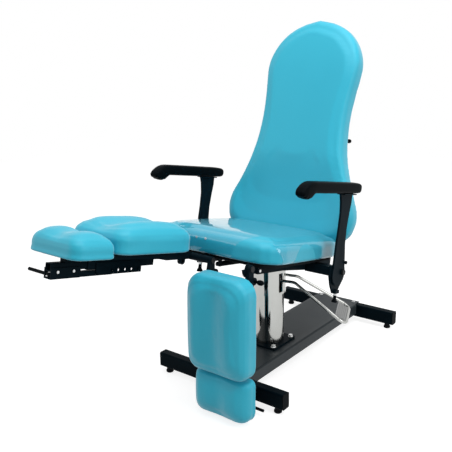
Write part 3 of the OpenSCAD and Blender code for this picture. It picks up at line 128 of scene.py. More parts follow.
forward = Vector((-math.sin(YAW) * math.cos(PITCH), math.cos(YAW) * math.cos(PITCH), -math.sin(PITCH)))
level = Vector((math.cos(YAW), math.sin(YAW), 0))
upright = level.cross(forward)
right = level * math.cos(ROLL) + upright * math.sin(ROLL)
top = upright * math.cos(ROLL) - level * math.sin(ROLL)

camera = bpy.data.objects.new("photo_camera", bpy.data.cameras.new("photo_camera"))
bpy.context.scene.collection.objects.link(camera)
camera.data.sensor_width = 36
camera.data.lens = FOCAL_PIXELS * camera.data.sensor_width / PICTURE
camera.data.clip_end = 50
turned = Matrix((right, top, -forward)).transposed().to_4x4()
camera.matrix_world = move(*CAMERA_AT) @ turned
bpy.context.scene.camera = camera
print("lens", round(camera.data.lens, 2), "mm")

# %% [markdown]
# ## Writing materials as sums
# A shader is a small sum of patterns. Wiring nodes by hand hides that sum, so a wire here is a
# Python value that knows how to add, subtract and multiply: each sign adds its Math node. One
# method makes every other node. It sets the node's own choices first and then its sockets.

# %% Wires and benches
class Wire:
    """One output of a node, which takes part in sums."""

    def __init__(self, bench, socket):
        self.bench, self.socket = bench, socket

    def sum(self, operation, first, second):
        return self.bench.node("ShaderNodeMath", {"operation": operation}, {0: first, 1: second})

    def __add__(self, other):
        return self.sum("ADD", self, other)

    def __radd__(self, other):
        return self.sum("ADD", other, self)

    def __sub__(self, other):
        return self.sum("SUBTRACT", self, other)

    def __rsub__(self, other):
        return self.sum("SUBTRACT", other, self)

    def __mul__(self, other):
        return self.sum("MULTIPLY", self, other)

    def __rmul__(self, other):
        return self.sum("MULTIPLY", other, self)

    def __pow__(self, other):
        return self.sum("POWER", self, other)


class Bench:
    """The node tree of one material."""

    def __init__(self, tree):
        self.tree = tree

    def node(self, kind, settings=None, sockets=None, out=0):
        made = self.tree.nodes.new(kind)
        for name, value in (settings or {}).items():
            if name == "stops":
                for element, (place, tone) in zip(self.ramp_elements(made, len(value)), value):
                    element.position, element.color = place, (tone, tone, tone, 1)
            else:
                setattr(made, name, value)
        for name, value in (sockets or {}).items():
            if isinstance(value, Wire):
                self.tree.links.new(value.socket, made.inputs[name])
            else:
                made.inputs[name].default_value = value
        return Wire(self, made.outputs[out])

    @staticmethod
    def ramp_elements(made, count):
        elements = made.color_ramp.elements
        while len(elements) < count:
            elements.new(1.0)
        return elements

    def place(self):
        return self.node("ShaderNodeTexCoord", out="Object")

    def noise(self, scale, detail=2.0, roughness=0.5, at=None, stretch=None):
        at = at or self.place()
        if stretch:
            at = self.node("ShaderNodeMapping", None, {"Vector": at, "Scale": stretch})
        return self.node("ShaderNodeTexNoise", None,
                         {"Vector": at, "Scale": scale, "Detail": detail, "Roughness": roughness})

    def ramp(self, wire, stops):
        return self.node("ShaderNodeValToRGB", {"stops": stops}, {0: wire})

    def blend(self, share, first, second):
        return self.node("ShaderNodeMix", {"data_type": "RGBA"}, {0: share, 6: first, 7: second}, out=2)

    def bump(self, height, strength, distance, under=None):
        sockets = {"Height": height, "Strength": strength, "Distance": distance}
        if under:
            sockets["Normal"] = under
        return self.node("ShaderNodeBump", None, sockets)

    def eased_edge_mask(self):
        """One on the eased edges of a piece and zero on its flats."""
        return self.node("ShaderNodeAttribute", {"attribute_name": "eased"}, out="Fac")


def tone(r, g, b):
    return (r, g, b, 1.0)


def material(name, recipe, **fixed):
    made = bpy.data.materials.new(name)
    made.use_nodes = True
    tree = made.node_tree
    shader = tree.nodes["Principled BSDF"]
    for socket, value in {**fixed, **recipe(Bench(tree))}.items():
        if isinstance(value, Wire):
            tree.links.new(value.socket, shader.inputs[socket])
        else:
            shader.inputs[socket].default_value = value
    return made


print("a bench is ready")

# %% [markdown]
# ## Turquoise artificial leather
# The covers are polyurethane on a knitted back: even in colour, with a soft sheen and a fine
# pebbled grain of about a millimetre. Cells of a Voronoi pattern, softened by a little noise, make
# the pebbles, and they go only into the bump. Broad noise shifts the tone by a few hundredths, as
# the cloth's stretch does over foam.

# %% Leather
def leather_recipe(b):
    broad = b.noise(2.3, 2.0)
    fine = b.noise(420.0, 2.0, 0.6)
    pebble = b.node("ShaderNodeTexVoronoi", {"feature": "SMOOTH_F1"},
                    {"Vector": b.place(), "Scale": 620.0, "Smoothness": 0.7})
    height = pebble * 0.8 + fine * 0.35
    stretched = b.ramp(broad, [(0.3, 0), (0.7, 1)])
    colour = b.blend(stretched, tone(0.017, 0.405, 0.565), tone(0.024, 0.445, 0.605))
    return {"Base Color": b.blend(pebble * 0.30, colour, tone(0.035, 0.50, 0.66)),
            "Roughness": 0.40 + broad * 0.10 + pebble * 0.06,
            "Normal": b.bump(height, 0.22, 0.0005)}


leather = material("turquoise_leatherette", leather_recipe,
                   **{"Sheen Weight": 0.45, "Sheen Roughness": 0.40, "Specular IOR Level": 0.38})
print(leather.name)

# %% [markdown]
# ## Painted steel
# The tubes carry a fine black powder coat with a blue cast, and the base plate a charcoal one.
# Powder melts into an orange-peel skin, so two noises make its bump. Bent edges are a little shinier,
# with a lighter painted highlight; the pieces store where their eased edges are, and the paint reads it.

# %% Powder coats
def coat_recipe(body, dust_and_edge_highlight, rough):
    def recipe(b):
        peel = b.noise(420.0, 3.0, 0.55)
        dust = b.ramp(b.noise(9.0, 4.0, 0.6), [(0.45, 0), (0.75, 1)])
        base = b.blend(dust * 0.35, body, dust_and_edge_highlight)
        # A lighter tone on the eased edges is a painted highlight; in the dust patches the same tone is dust.
        return {"Base Color": b.blend(b.eased_edge_mask() * 0.55, base, dust_and_edge_highlight),
                "Roughness": rough + peel * 0.10 + dust * 0.06 - b.eased_edge_mask() * 0.06,
                "Normal": b.bump(peel, 0.16, 0.0004)}
    return recipe


black_coat = material("black_powder_coat",
                      coat_recipe(tone(0.0010, 0.0048, 0.0078), tone(0.006, 0.014, 0.020), 0.32),
                      **{"Specular IOR Level": 0.018})
charcoal_coat = material("charcoal_powder_coat",
                         coat_recipe(tone(0.019, 0.026, 0.030), tone(0.036, 0.044, 0.049), 0.36),
                         **{"Specular IOR Level": 0.12})
print(black_coat.name, charcoal_coat.name)

# %% [markdown]
# ## Bright metals
# The pump, the ram and the foot lever are polished and chromed. Chrome is never perfect: fine
# polishing marks run round it, and broad patches are rougher and painted darker, as painted dark
# reflections. The bolts and pins are zinc-plated, which is paler, rougher and slightly blotched,
# with a bluish cast. The tread plate inside the lever is brushed, because soles wear a polish away.

# %% Chrome, zinc, tread, casting and bronze
def chrome_recipe(b):
    dark_reflection_patches = b.ramp(b.noise(7.0, 3.0), [(0.42, 0), (0.72, 1)])
    marks = b.noise(60.0, 2.0, 0.6, stretch=(1.0, 1.0, 22.0))
    # The darker tone in the broad patches is a painted dark reflection; the patches are also rougher.
    return {"Base Color": b.blend(dark_reflection_patches * 0.5, tone(0.43, 0.435, 0.42), tone(0.34, 0.345, 0.33)),
            "Roughness": 0.07 + dark_reflection_patches * 0.07 + marks * 0.05,
            "Normal": b.bump(marks, 0.03, 0.0002)}


def zinc_recipe(b):
    blot = b.noise(38.0, 4.0, 0.6)
    return {"Base Color": b.blend(blot, tone(0.50, 0.52, 0.54), tone(0.72, 0.72, 0.70)),
            "Roughness": 0.24 + blot * 0.16,
            "Normal": b.bump(b.noise(900.0, 2.0), 0.10, 0.0002)}


def tread_recipe(b):
    brushed = b.noise(90.0, 2.0, 0.6, stretch=(1.0, 14.0, 1.0))
    return {"Base Color": b.blend(brushed, tone(0.20, 0.205, 0.205), tone(0.30, 0.305, 0.30)),
            "Roughness": 0.30 + brushed * 0.15, "Normal": b.bump(brushed, 0.08, 0.0002)}


def cast_recipe(b):
    sand = b.noise(260.0, 4.0, 0.65)
    return {"Base Color": b.blend(sand, tone(0.07, 0.07, 0.075), tone(0.17, 0.17, 0.175)),
            "Roughness": 0.42 + sand * 0.2, "Normal": b.bump(sand, 0.35, 0.0006)}


def bronze_recipe(b):
    turned_marks = b.noise(40.0, 2.0, 0.5, stretch=(1.0, 1.0, 40.0))
    return {"Base Color": b.blend(turned_marks, tone(0.42, 0.24, 0.07), tone(0.58, 0.36, 0.13)),
            "Roughness": 0.22 + turned_marks * 0.14, "Normal": b.bump(turned_marks, 0.06, 0.0002)}


chrome = material("chrome", chrome_recipe, Metallic=1.0)
zinc = material("zinc_plate", zinc_recipe, Metallic=1.0)
tread = material("brushed_tread", tread_recipe, Metallic=1.0)
cast = material("machined_casting", cast_recipe, Metallic=0.9)
bronze = material("turned_bronze", bronze_recipe, Metallic=1.0)
print(chrome.name, zinc.name, tread.name, cast.name, bronze.name)

# %% [markdown]
# ## Plastics, foam skin and board
# The knobs and feet are moulded plastic with a spark-eroded grain. The arm pads are polyurethane
# foam with its own tight skin, a little shinier. The boards under the foam have a black paper face.

# %% Black plastics and board
def moulded_recipe(b):
    grain = b.noise(1100.0, 2.0, 0.6)
    wipe = b.noise(16.0, 3.0)
    return {"Base Color": b.blend(wipe, tone(0.0010, 0.0022, 0.0032), tone(0.004, 0.006, 0.0075)),
            "Roughness": 0.40 + grain * 0.10 + wipe * 0.06, "Normal": b.bump(grain, 0.20, 0.0002)}


def skin_recipe(b):
    pore = b.node("ShaderNodeTexVoronoi", {"feature": "SMOOTH_F1"},
                  {"Vector": b.place(), "Scale": 1300.0, "Smoothness": 0.5})
    wipe = b.noise(11.0, 3.0)
    return {"Base Color": b.blend(wipe, tone(0.0010, 0.0022, 0.0032), tone(0.004, 0.006, 0.0075)),
            "Roughness": 0.28 + wipe * 0.10 + pore * 0.05, "Normal": b.bump(pore, 0.10, 0.0002)}


def board_recipe(b):
    fibre = b.noise(150.0, 4.0, 0.65, stretch=(1.0, 6.0, 6.0))
    return {"Base Color": b.blend(fibre, tone(0.0030, 0.0042, 0.0052), tone(0.009, 0.011, 0.013)),
            "Roughness": 0.62 + fibre * 0.15, "Normal": b.bump(fibre, 0.18, 0.0004)}


moulded = material("moulded_black_plastic", moulded_recipe, **{"Specular IOR Level": 0.02})
skin = material("foam_skin", skin_recipe, **{"Specular IOR Level": 0.014})
board = material("black_board", board_recipe, **{"Specular IOR Level": 0.05})
black_screw = material("blackened_steel",
                       coat_recipe(tone(0.004, 0.005, 0.006), tone(0.02, 0.022, 0.024), 0.26),
                       **{"Specular IOR Level": 0.10})
rubber = material("rubber", board_recipe, **{"Specular IOR Level": 0.1})
print(moulded.name, skin.name, board.name)

# %% [markdown]
# ## The clear film
# A soft clear cover protects the seat. Seen straight on it almost vanishes, and at a grazing angle
# it mirrors the room. So the film is a mix of a see-through shader and a glossy one. The share of
# gloss follows the well-known fifth power of the facing angle. Layer Weight gives that angle alike
# for the front and the back of a face, where Fresnel would see total reflection from inside.

# %% Film
def film_material():
    made = bpy.data.materials.new("clear_film")
    made.use_nodes = True
    tree = made.node_tree
    tree.nodes.remove(tree.nodes["Principled BSDF"])
    b = Bench(tree)
    ripple = b.bump(b.noise(11.0, 2.0, 0.4) + b.noise(45.0, 2.0, 0.5) * 0.12, 0.05, 0.02)
    facing = b.node("ShaderNodeLayerWeight", None, {"Blend": 0.5, "Normal": ripple}, out="Facing")
    share = facing ** 5.0 * 0.80 + 0.03
    clear = b.node("ShaderNodeBsdfTransparent", None, {"Color": tone(0.95, 0.985, 0.99)})
    gloss = b.node("ShaderNodeBsdfAnisotropic", None,
                   {"Color": tone(0.96, 0.98, 0.98), "Roughness": 0.055, "Normal": ripple})
    mixed = b.node("ShaderNodeMixShader", None, {0: share, 1: clear, 2: gloss})
    tree.links.new(mixed.socket, tree.nodes["Material Output"].inputs["Surface"])
    return made


film = film_material()
print(film.name)

# %% [markdown]
# ## Turning a bmesh into a piece
# Every new piece goes the same way: a bmesh in the axes of its carrier, moved by that carrier's
# matrix, cleaned, shaded smooth up to an angle, and then set riding on its body. The object itself
# stays at the origin with its place in its mesh, as the CAD parts do.

# %% Finishing a piece
def finish_mesh(bm, axes=None, merge=1e-5, recalculate=True):
    if axes is not None:
        bmesh.ops.transform(bm, matrix=axes, verts=bm.verts)
        if axes.determinant() < 0:
            bmesh.ops.reverse_faces(bm, faces=bm.faces)
    if merge:
        bmesh.ops.remove_doubles(bm, verts=bm.verts, dist=merge)
    if recalculate:
        bmesh.ops.recalc_face_normals(bm, faces=bm.faces)
    return bm


def piece(name, bm, look, body, slot, replaces=(), sharp=40):
    mesh = bpy.data.meshes.new(name)
    bm.to_mesh(mesh)
    bm.free()
    made = bpy.data.objects.new(name, mesh)
    bpy.context.scene.collection.objects.link(made)
    made.data.materials.append(look)
    mesh.shade_smooth()
    mesh.set_sharp_from_angle(angle=math.radians(sharp))
    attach(made, body)
    if replaces:
        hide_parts(*replaces)
    return made


def count(made):
    return sum(len(p.vertices) - 2 for p in made.data.polygons)


# %% [markdown]
# ## Upholstery
# A cushion is foam on a board with leatherette pulled tight over it: its top is crowned, its sides
# pull in a little towards the board, and it is flat only underneath. The CAD solid has that form in
# coarse facets. Here a copy of it is remeshed to even squares and faired, drawn in by a few
# millimetres, and then blown up again as cloth under pressure, held fast along the board. Only
# the outward part of the swelling is kept, capped and spread over the surface: tight leatherette
# over firm foam shows a full, even crown and no wrinkles.

# %% Swelling a pad
# Piece: its CAD node and body, the board's height along the pad's normal, the pad's axes, the size
# of a voxel and the cap on the swelling
PADS = {
    "seat_upholstery": ("seat_cushion", "seat", -0.080, seat_axes, 0.0062, 0.0060),
    "back_upholstery": ("back_cushion", "back", -0.075, back_axes @ turn(90, "X"), 0.0070, 0.0060),
}
for side in SIDES:
    axes = leg_axes(side)
    PADS[f"calf_upholstery_{side}"] = (f"calf_cushion_{side}", f"leg_{side}", 0.020, axes, 0.0052, 0.0050)
    PADS[f"sole_upholstery_{side}"] = (f"sole_cushion_{side}", f"slide_{side}", 0.009, axes, 0.0046, 0.0045)
SHRINK, PROUD = 0.0030, 0.0025
HELD, FREE_OVER = 0.004, 0.010
# Smoothing and then nearly as much of its opposite removes the facets and keeps the size
FAIRING, FACET_ROUNDS, CLOTH_ROUNDS, SPREAD_ROUNDS = (0.5, -0.51), 26, 14, 70
PRESSURE, STEPS = 4.0, 20


def points_of(mesh):
    flat = np.empty(len(mesh.vertices) * 3, np.float32)
    mesh.vertices.foreach_get("co", flat)
    return flat.reshape(-1, 3).astype(float)


def apply_modifiers(obj):
    graph = bpy.context.evaluated_depsgraph_get()
    mesh = bpy.data.meshes.new_from_object(obj.evaluated_get(graph), depsgraph=graph)
    obj.modifiers.clear()
    old, obj.data = obj.data, mesh
    bpy.data.meshes.remove(old)
    return obj


def smooth_copy(node, voxel):
    bm = bmesh.new()
    bm.from_mesh(nodes[node].data)
    bmesh.ops.remove_doubles(bm, verts=bm.verts, dist=1e-5)
    mesh = bpy.data.meshes.new(node + "_foam")
    bm.to_mesh(mesh)
    bm.free()
    made = bpy.data.objects.new(node + "_foam", mesh)
    bpy.context.scene.collection.objects.link(made)
    remesh = made.modifiers.new("even", "REMESH")
    remesh.mode, remesh.voxel_size, remesh.use_smooth_shade = "VOXEL", voxel, True
    return fair(made, FACET_ROUNDS)


def shift_along_normals(mesh, amounts):
    normals = np.array([v.normal for v in mesh.vertices], float).reshape(-1, 3)
    moved = points_of(mesh) + normals * amounts[:, None]
    mesh.vertices.foreach_set("co", moved.astype(np.float32).ravel())
    mesh.update()


def spread(mesh, amounts, rounds):
    """Share a number per point with the neighbours, so that it changes slowly over the surface."""
    ends = np.empty(len(mesh.edges) * 2, np.int32)
    mesh.edges.foreach_get("vertices", ends)
    a, b = ends.reshape(-1, 2).T
    links = np.bincount(ends, minlength=len(amounts))
    for _ in range(rounds):
        near = np.bincount(a, amounts[b], len(amounts)) + np.bincount(b, amounts[a], len(amounts))
        amounts = (amounts + near / links) / 2
    return amounts


def swell(made, free, cap):
    """Cloth under pressure from the drawn-in shape; free is one where a point may move."""
    start = points_of(made.data)
    normals = np.array([v.normal for v in made.data.vertices], float).reshape(-1, 3)
    group = made.vertex_groups.new(name="board")
    for i in np.nonzero(free < 0.5)[0]:
        group.add([int(i)], 1.0, "REPLACE")
    cloth = made.modifiers.new("cloth", "CLOTH")
    cloth.settings.use_pressure = True
    cloth.settings.uniform_pressure_force = PRESSURE
    cloth.settings.effector_weights.gravity = 0.0
    cloth.settings.vertex_group_mass = "board"
    cloth.settings.quality = 4
    cloth.settings.tension_stiffness = 22
    cloth.settings.compression_stiffness = 22
    cloth.settings.bending_stiffness = 0.6
    cloth.point_cache.frame_start, cloth.point_cache.frame_end = 1, STEPS
    for at in range(1, STEPS + 1):
        bpy.context.scene.frame_set(at)
    graph = bpy.context.evaluated_depsgraph_get()
    swollen = points_of(made.evaluated_get(graph).data)
    made.modifiers.clear()
    bpy.context.scene.frame_set(1)
    outward = ((swollen - start) * normals).sum(axis=1)
    even = spread(made.data, np.clip(outward, -cap, cap * 2), SPREAD_ROUNDS)
    kept = np.clip(even, 0, cap) * free
    shift_along_normals(made.data, kept)
    return float(outward.max()), float(kept.max())


def fit_to_solid(mesh, node, axes):
    """Stretch a pad in its own axes until it stands a little proud of its CAD solid, but for its base."""
    into = np.array(axes.inverted())
    pad, solid = (points_of(m) @ into[:3, :3].T + into[:3, 3] for m in (mesh, nodes[node].data))
    low, high = solid.min(0) - (PROUD, PROUD, 0), solid.max(0) + PROUD
    fitted = low + (pad - pad.min(0)) * (high - low) / (pad.max(0) - pad.min(0))
    out = np.array(axes)
    mesh.vertices.foreach_set("co", (fitted @ out[:3, :3].T + out[:3, 3]).astype(np.float32).ravel())
    mesh.update()


def fair(made, rounds):
    for factor in FAIRING:
        smooth = made.modifiers.new("fair", "SMOOTH")
        smooth.factor, smooth.iterations = factor, rounds
    return apply_modifiers(made)


def upholster(name, node, body, board_at, axes, voxel, cap):
    made = smooth_copy(node, voxel)
    into = np.array(axes.inverted())
    height = points_of(made.data) @ into[2, :3] + into[2, 3] - board_at
    free = np.clip((height - HELD) / FREE_OVER, 0, 1)
    shift_along_normals(made.data, -SHRINK * free)
    before = len(made.data.vertices)
    moved = swell(made, free, cap)
    made.vertex_groups.clear()
    fair(made, CLOTH_ROUNDS)
    made.modifiers.new("finer", "SUBSURF").levels = 1
    apply_modifiers(made)
    fit_to_solid(made.data, node, axes)
    made.name = made.data.name = name
    made.data.materials.clear()
    made.data.materials.append(leather)
    made.data.shade_smooth()
    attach(made, body)
    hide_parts(node)
    print(name, before, "points; cloth swelled", round(moved[0] * 1000, 1), "mm, kept",
          round(moved[1] * 1000, 1), "mm; triangles", count(made))
    return made


upholstery = {name: upholster(name, *spec) for name, spec in PADS.items()}

# %% [markdown]
# ## The film over the seat
# The cover is cut from one sheet, and it hangs down over the sides. Its front corners and its sides
# are cut back in round scallops, so that the leatherette shows there. It starts as a copy of the
# seat's finished surface, moved out by just over a millimetre. Faces below the hem and inside the scallops
# go, and the points along each cut are then drawn onto its line, which makes the edge clean.

# %% Film cover
HEM = -0.076
FRONT_FACE, SIDE_FACE = -0.325, 0.225
CORNER_CUT, CORNER_AT = 0.085, (0.200, -0.076)
SIDE_CUT, SIDE_AT = 0.075, (-0.178, -0.090)
FILM_OUT, FILM_T = 0.0012, 0.0006


def cut_back(p):
    """The nearest point on the line of the cut that holds p, or None outside every cut."""
    if p.z < HEM:
        return Vector((p.x, p.y, HEM))
    if p.y < FRONT_FACE:
        flat = Vector((abs(p.x) - CORNER_AT[0], p.z - CORNER_AT[1]))
        if flat.length < CORNER_CUT:
            flat = flat.normalized() * CORNER_CUT
            return Vector((math.copysign(CORNER_AT[0] + flat.x, p.x), p.y, CORNER_AT[1] + flat.y))
    if abs(p.x) > SIDE_FACE:
        flat = Vector((p.y - SIDE_AT[0], p.z - SIDE_AT[1]))
        if flat.length < SIDE_CUT:
            flat = flat.normalized() * SIDE_CUT
            return Vector((p.x, SIDE_AT[0] + flat.x, SIDE_AT[1] + flat.y))
    return None


def film_cover():
    bm = bmesh.new()
    bm.from_mesh(upholstery["seat_upholstery"].data)
    bmesh.ops.transform(bm, matrix=seat_axes.inverted(), verts=bm.verts)
    bm.normal_update()
    for v in bm.verts:
        v.co += v.normal * FILM_OUT
    goal = {v: cut_back(v.co) for v in bm.verts}
    gone = [f for f in bm.faces if all(goal[v] is not None for v in f.verts)]
    bmesh.ops.delete(bm, geom=gone, context="FACES")
    for v in bm.verts:
        if goal[v] is not None:
            v.co = goal[v]
    bmesh.ops.delete(bm, geom=[v for v in bm.verts if not v.link_faces], context="VERTS")
    area = sum(f.calc_area() for f in bm.faces)
    bmesh.ops.solidify(bm, geom=bm.faces, thickness=-FILM_T)
    finish_mesh(bm, seat_axes, merge=0, recalculate=False)
    made = piece("film_cover", bm, film, "seat", "film", ["seat_cover"], sharp=80)
    print("film area", round(area, 4), "square metres, triangles", count(made))
    return made, area


FLAT, FLAT_AREA = (0.724, 0.648), 0.4690
cover, cover_area = film_cover()
min(cover_area, FLAT_AREA)

# %% [markdown]
# ## Easing the edges of the metal
# No sheet or tube has a knife edge, and light shows it: a thin bright line runs along every bend. A
# CAD solid has sharp edges, so its merged copy gets a small bevel with two segments. Faces in one
# plane are joined first, because a bevel follows the edges that are left. The new faces are marked,
# and the paint reads that mark. Where a bevel would tear a mesh, a smaller one is tried.

# %% Eased copies of the CAD parts
def volume_of(bm):
    return bm.calc_volume(signed=True)


def merged_copy(node):
    bm = bmesh.new()
    bm.from_mesh(nodes[node].data)
    bmesh.ops.remove_doubles(bm, verts=bm.verts, dist=2e-6)
    bmesh.ops.dissolve_limit(bm, angle_limit=math.radians(0.4), verts=bm.verts, edges=bm.edges)
    return bm


def ease(bm, width, segments, angle=33):
    edges = [e for e in bm.edges if len(e.link_faces) == 2 and e.calc_length() > width
             and e.calc_face_angle(0) > math.radians(angle)]
    made = bmesh.ops.bevel(bm, geom=edges, offset=width, offset_type="OFFSET", segments=segments, profile=0.5,
                           affect="EDGES", clamp_overlap=True, material=-1)
    mark = bm.verts.layers.float.new("eased")
    for f in made["faces"]:
        if f.is_valid:
            for v in f.verts:
                v[mark] = 1.0
    return made


def eased(node, look, width=0.0010, segments=2):
    for w in (width, width * 0.5, width * 0.25):
        bm = merged_copy(node)
        full = volume_of(bm)
        ease(bm, w, segments)
        left = volume_of(bm) / full
        reach = max(abs(c) for v in bm.verts for c in v.co)
        if 0.9 < left < 1.001 and reach < 2:
            break
        bm.free()
        bm = None
    if bm is None:
        print(node, "keeps its own edges")
        return bare(node, look)
    row = next(r for r in frame["record"]["subparts"] if r["node"] == node)
    made = piece(node + "_eased", bm, look, nodes[node]["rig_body"], row["material_slot"], [node])
    made.modifiers.new("flats", "WEIGHTED_NORMAL").keep_sharp = True
    return made


def bare(node, look):
    slots = nodes[node].data.materials
    slots.clear()
    slots.append(look)
    return nodes[node]


looks = {"black_coat": black_coat, "charcoal_coat": charcoal_coat, "chrome": chrome, "zinc": zinc,
         "cast": cast, "black_screws": black_screw, "bronze": bronze, "board": board,
         "black_plastic": moulded, "film": film, "turquoise": leather, "arm_foam": skin}
slot_of = {row["node"]: row["material_slot"] for row in frame["record"]["subparts"]}
for node in nodes:
    bare(node, rubber if node == "rubber_feet" else looks[slot_of[node]])

EASED = {"base_plate": 0.0022, "tube_end_caps": 0.0020, "pump_flange": 0.0015, "head_bracket": 0.0012,
         "seat_frame": 0.0008, "arm_bracket_left": 0.0010, "arm_bracket_right": 0.0010, "back_frame":
         0.0010, "leg_frame_left": 0.0009, "leg_frame_right": 0.0009, "foot_slide_left": 0.0009,
         "foot_slide_right": 0.0009, "slide_lever_left": 0.0020, "slide_lever_right": 0.0020,
         "arm_upright_left": 0.0012, "arm_upright_right": 0.0012, "pump_cylinder": 0.0015,
         "pump_sleeve": 0.0010, "plate_bolts": 0.0006, "flange_bolts": 0.0008, "frame_screws": 0.0007,
         "arm_bolts": 0.0012, "slide_bolts_left": 0.0006, "slide_bolts_right": 0.0006, "pedal_plate":
         0.0006, "back_board": 0.0030, "seat_board": 0.0020, "leg_hinge_pins": 0.0010, "tilt_pin":
         0.0010, "cover_studs": 0.0004, "release_bar": 0.0010, "front_plunger": 0.0010,
         "arm_plunger_left": 0.0010, "arm_plunger_right": 0.0010, "leg_lock_left": 0.0008,
         "leg_lock_right": 0.0008, "tilt_spring_body": 0.0015, "recline_spring_body": 0.0015,
         "recline_pins": 0.0008}
for node, width in EASED.items():
    made = eased(node, tread if node == "pedal_plate" else looks[slot_of[node]], width)
    print(made.name, count(made), "triangles")

# %% [markdown]
# ## Arm pads
# An arm pad is moulded foam: broad and flat on top, rounded at its sides, with a nose that dips at
# the front and four finger hollows under it. It starts as one ring of points that is extruded from
# station to station. Each new ring is laid on the outline that the pad has there, and a Subdivision
# Surface modifier rounds it.

# %% Arm pads
ARM_X, ARM_FRONT, ARM_LONG = 0.332, -0.348, 0.428
ARM_WIDE, ARM_DEEP, ARM_UNDER = 0.046, 0.042, 0.174
# Each pair is a share of the length and the share of the depth, or of the width, there
ARM_TOP = [(0, .12), (.012, .27), (.03, .45), (.06, .67), (.09, .84), (.12, .94), (.16, .99), (.30, 1),
           (.88, 1), (.95, .96), (.98, .88), (1, .70)]
ARM_LOW = [(0, .0), (.008, -.16), (.022, -.32), (.05, -.43), (.08, -.50), (.11, -.52), (.135, -.40),
           (.155, -.20), (.18, -.03), (.20, 0), (.88, 0), (.96, .03), (.985, .10), (1, .30)]
ARM_HALF = [(0, .62), (.02, .84), (.06, .96), (.15, 1), (.90, 1), (.96, .95), (.985, .84), (1, .64)]
ARM_STATIONS = [0, .004, .012, .021, .030, .039, .048, .058, .068, .078, .088, .098, .108, .118, .128,
                .139, .15, .165, .18, .20, .24, .34, .48, .62, .76, .86, .92, .955, .975, .99, 1]
ARM_SIDES, ARM_SQUARE = 20, 0.50
GRIP_FROM, GRIP_TO, GRIP_IN = 0.01, 0.15, 0.006
FINGER_PITCH, FINGER_DEEP = 0.0165, 0.0042


def between(table, u):
    return float(np.interp(u, [p for p, _ in table], [q for _, q in table]))


def pad_ring(u, angle):
    y = ARM_FRONT + ARM_LONG * u
    high = ARM_UNDER + ARM_DEEP * between(ARM_TOP, u)
    low = ARM_UNDER + ARM_DEEP * between(ARM_LOW, u)
    if GRIP_FROM < u < GRIP_TO:
        low += FINGER_DEEP * (0.5 - 0.5 * math.cos(2 * math.pi * (y - ARM_FRONT - GRIP_IN) / FINGER_PITCH))
    c, s = math.cos(angle), math.sin(angle)
    x = ARM_WIDE / 2 * between(ARM_HALF, u) * math.copysign(abs(c) ** ARM_SQUARE, c)
    z = (high + low) / 2 + (high - low) / 2 * math.copysign(abs(s) ** ARM_SQUARE, s)
    return Vector((ARM_X + x, y, z))


def arm_pad(side):
    bm = bmesh.new()
    layer = bm.verts.layers.float.new("angle")
    bmesh.ops.create_circle(bm, segments=ARM_SIDES, radius=1.0, cap_ends=True)
    for v in bm.verts:
        v[layer] = math.atan2(v.co.y, v.co.x)
    edges = list(bm.edges)
    for v in bm.verts:
        v.co = pad_ring(ARM_STATIONS[0], v[layer])
    for u in ARM_STATIONS[1:]:
        grown = bmesh.ops.extrude_edge_only(bm, edges=edges)["geom"]
        edges = [g for g in grown if isinstance(g, bmesh.types.BMEdge)]
        for v in {v for e in edges for v in e.verts}:
            v.co = pad_ring(u, v[layer])
    bmesh.ops.contextual_create(bm, geom=edges)
    ends = [f for f in bm.faces if len(f.verts) == ARM_SIDES]
    bmesh.ops.inset_region(bm, faces=ends, thickness=0.004, depth=0.0012)
    finish_mesh(bm, arm_axes(side))
    made = piece(f"arm_rest_pad_{side}", bm, skin, f"arm_{side}", "arm_foam", [f"arm_pad_{side}"], sharp=180)
    rounder = made.modifiers.new("rounder", "SUBSURF")
    rounder.levels = rounder.render_levels = 2
    return made


for side in SIDES:
    made = arm_pad(side)
    print(made.name, count(made), "faces before rounding")

# %% [markdown]
# ## The foot lever
# The lever is a bright round bar bent into a U, with an eye at each end on the pump's pin. A bar
# that keeps its thickness round its bends is a curve with a round bevel: the path has straight runs
# and filleted corners. The curve becomes a mesh, and two eyes join it.

# %% Foot lever
LEVER_PIN, LEVER_HALF, LEVER_Z = 0.046, 0.039, 0.370
LEVER_CORNERS = [(0.053, LEVER_HALF, LEVER_Z), (0.112, 0.0393, 0.366), (0.324, 0.100, 0.226)]
LEVER_CORNERS += [(x, -y, z) for x, y, z in reversed(LEVER_CORNERS)]
BAR_R, BEND_R = 0.006, 0.030
EYE_R, EYE_BORE, EYE_HALF = 0.011, 0.00505, 0.007


def filleted(corners, radius, steps=10):
    """Corners rounded by arcs of that radius."""
    points = [Vector(corners[0])]
    for before, here, after in zip(corners, corners[1:], corners[2:]):
        here = Vector(here)
        a, b = (Vector(before) - here).normalized(), (Vector(after) - here).normalized()
        half = a.angle(b) / 2
        reach = radius / math.tan(half)
        centre = here + (a + b).normalized() * (radius / math.sin(half))
        first, last = here + a * reach - centre, here + b * reach - centre
        points += [centre + first.lerp(last, i / steps).normalized() * radius for i in range(steps + 1)]
    return points + [Vector(corners[-1])]


def rod_mesh(bm, points, radius, sides=16):
    curve = bpy.data.curves.new("rod", "CURVE")
    curve.dimensions, curve.bevel_depth, curve.use_fill_caps = "3D", radius, True
    curve.bevel_resolution = sides // 4
    spline = curve.splines.new("POLY")
    spline.points.add(len(points) - 1)
    for target, p in zip(spline.points, points):
        target.co = (*p, 1)
    holder = bpy.data.objects.new("rod", curve)
    bpy.context.scene.collection.objects.link(holder)
    graph = bpy.context.evaluated_depsgraph_get()
    mesh = bpy.data.meshes.new_from_object(holder.evaluated_get(graph), depsgraph=graph)
    bm.from_mesh(mesh)
    bpy.data.objects.remove(holder)
    bpy.data.meshes.remove(mesh)


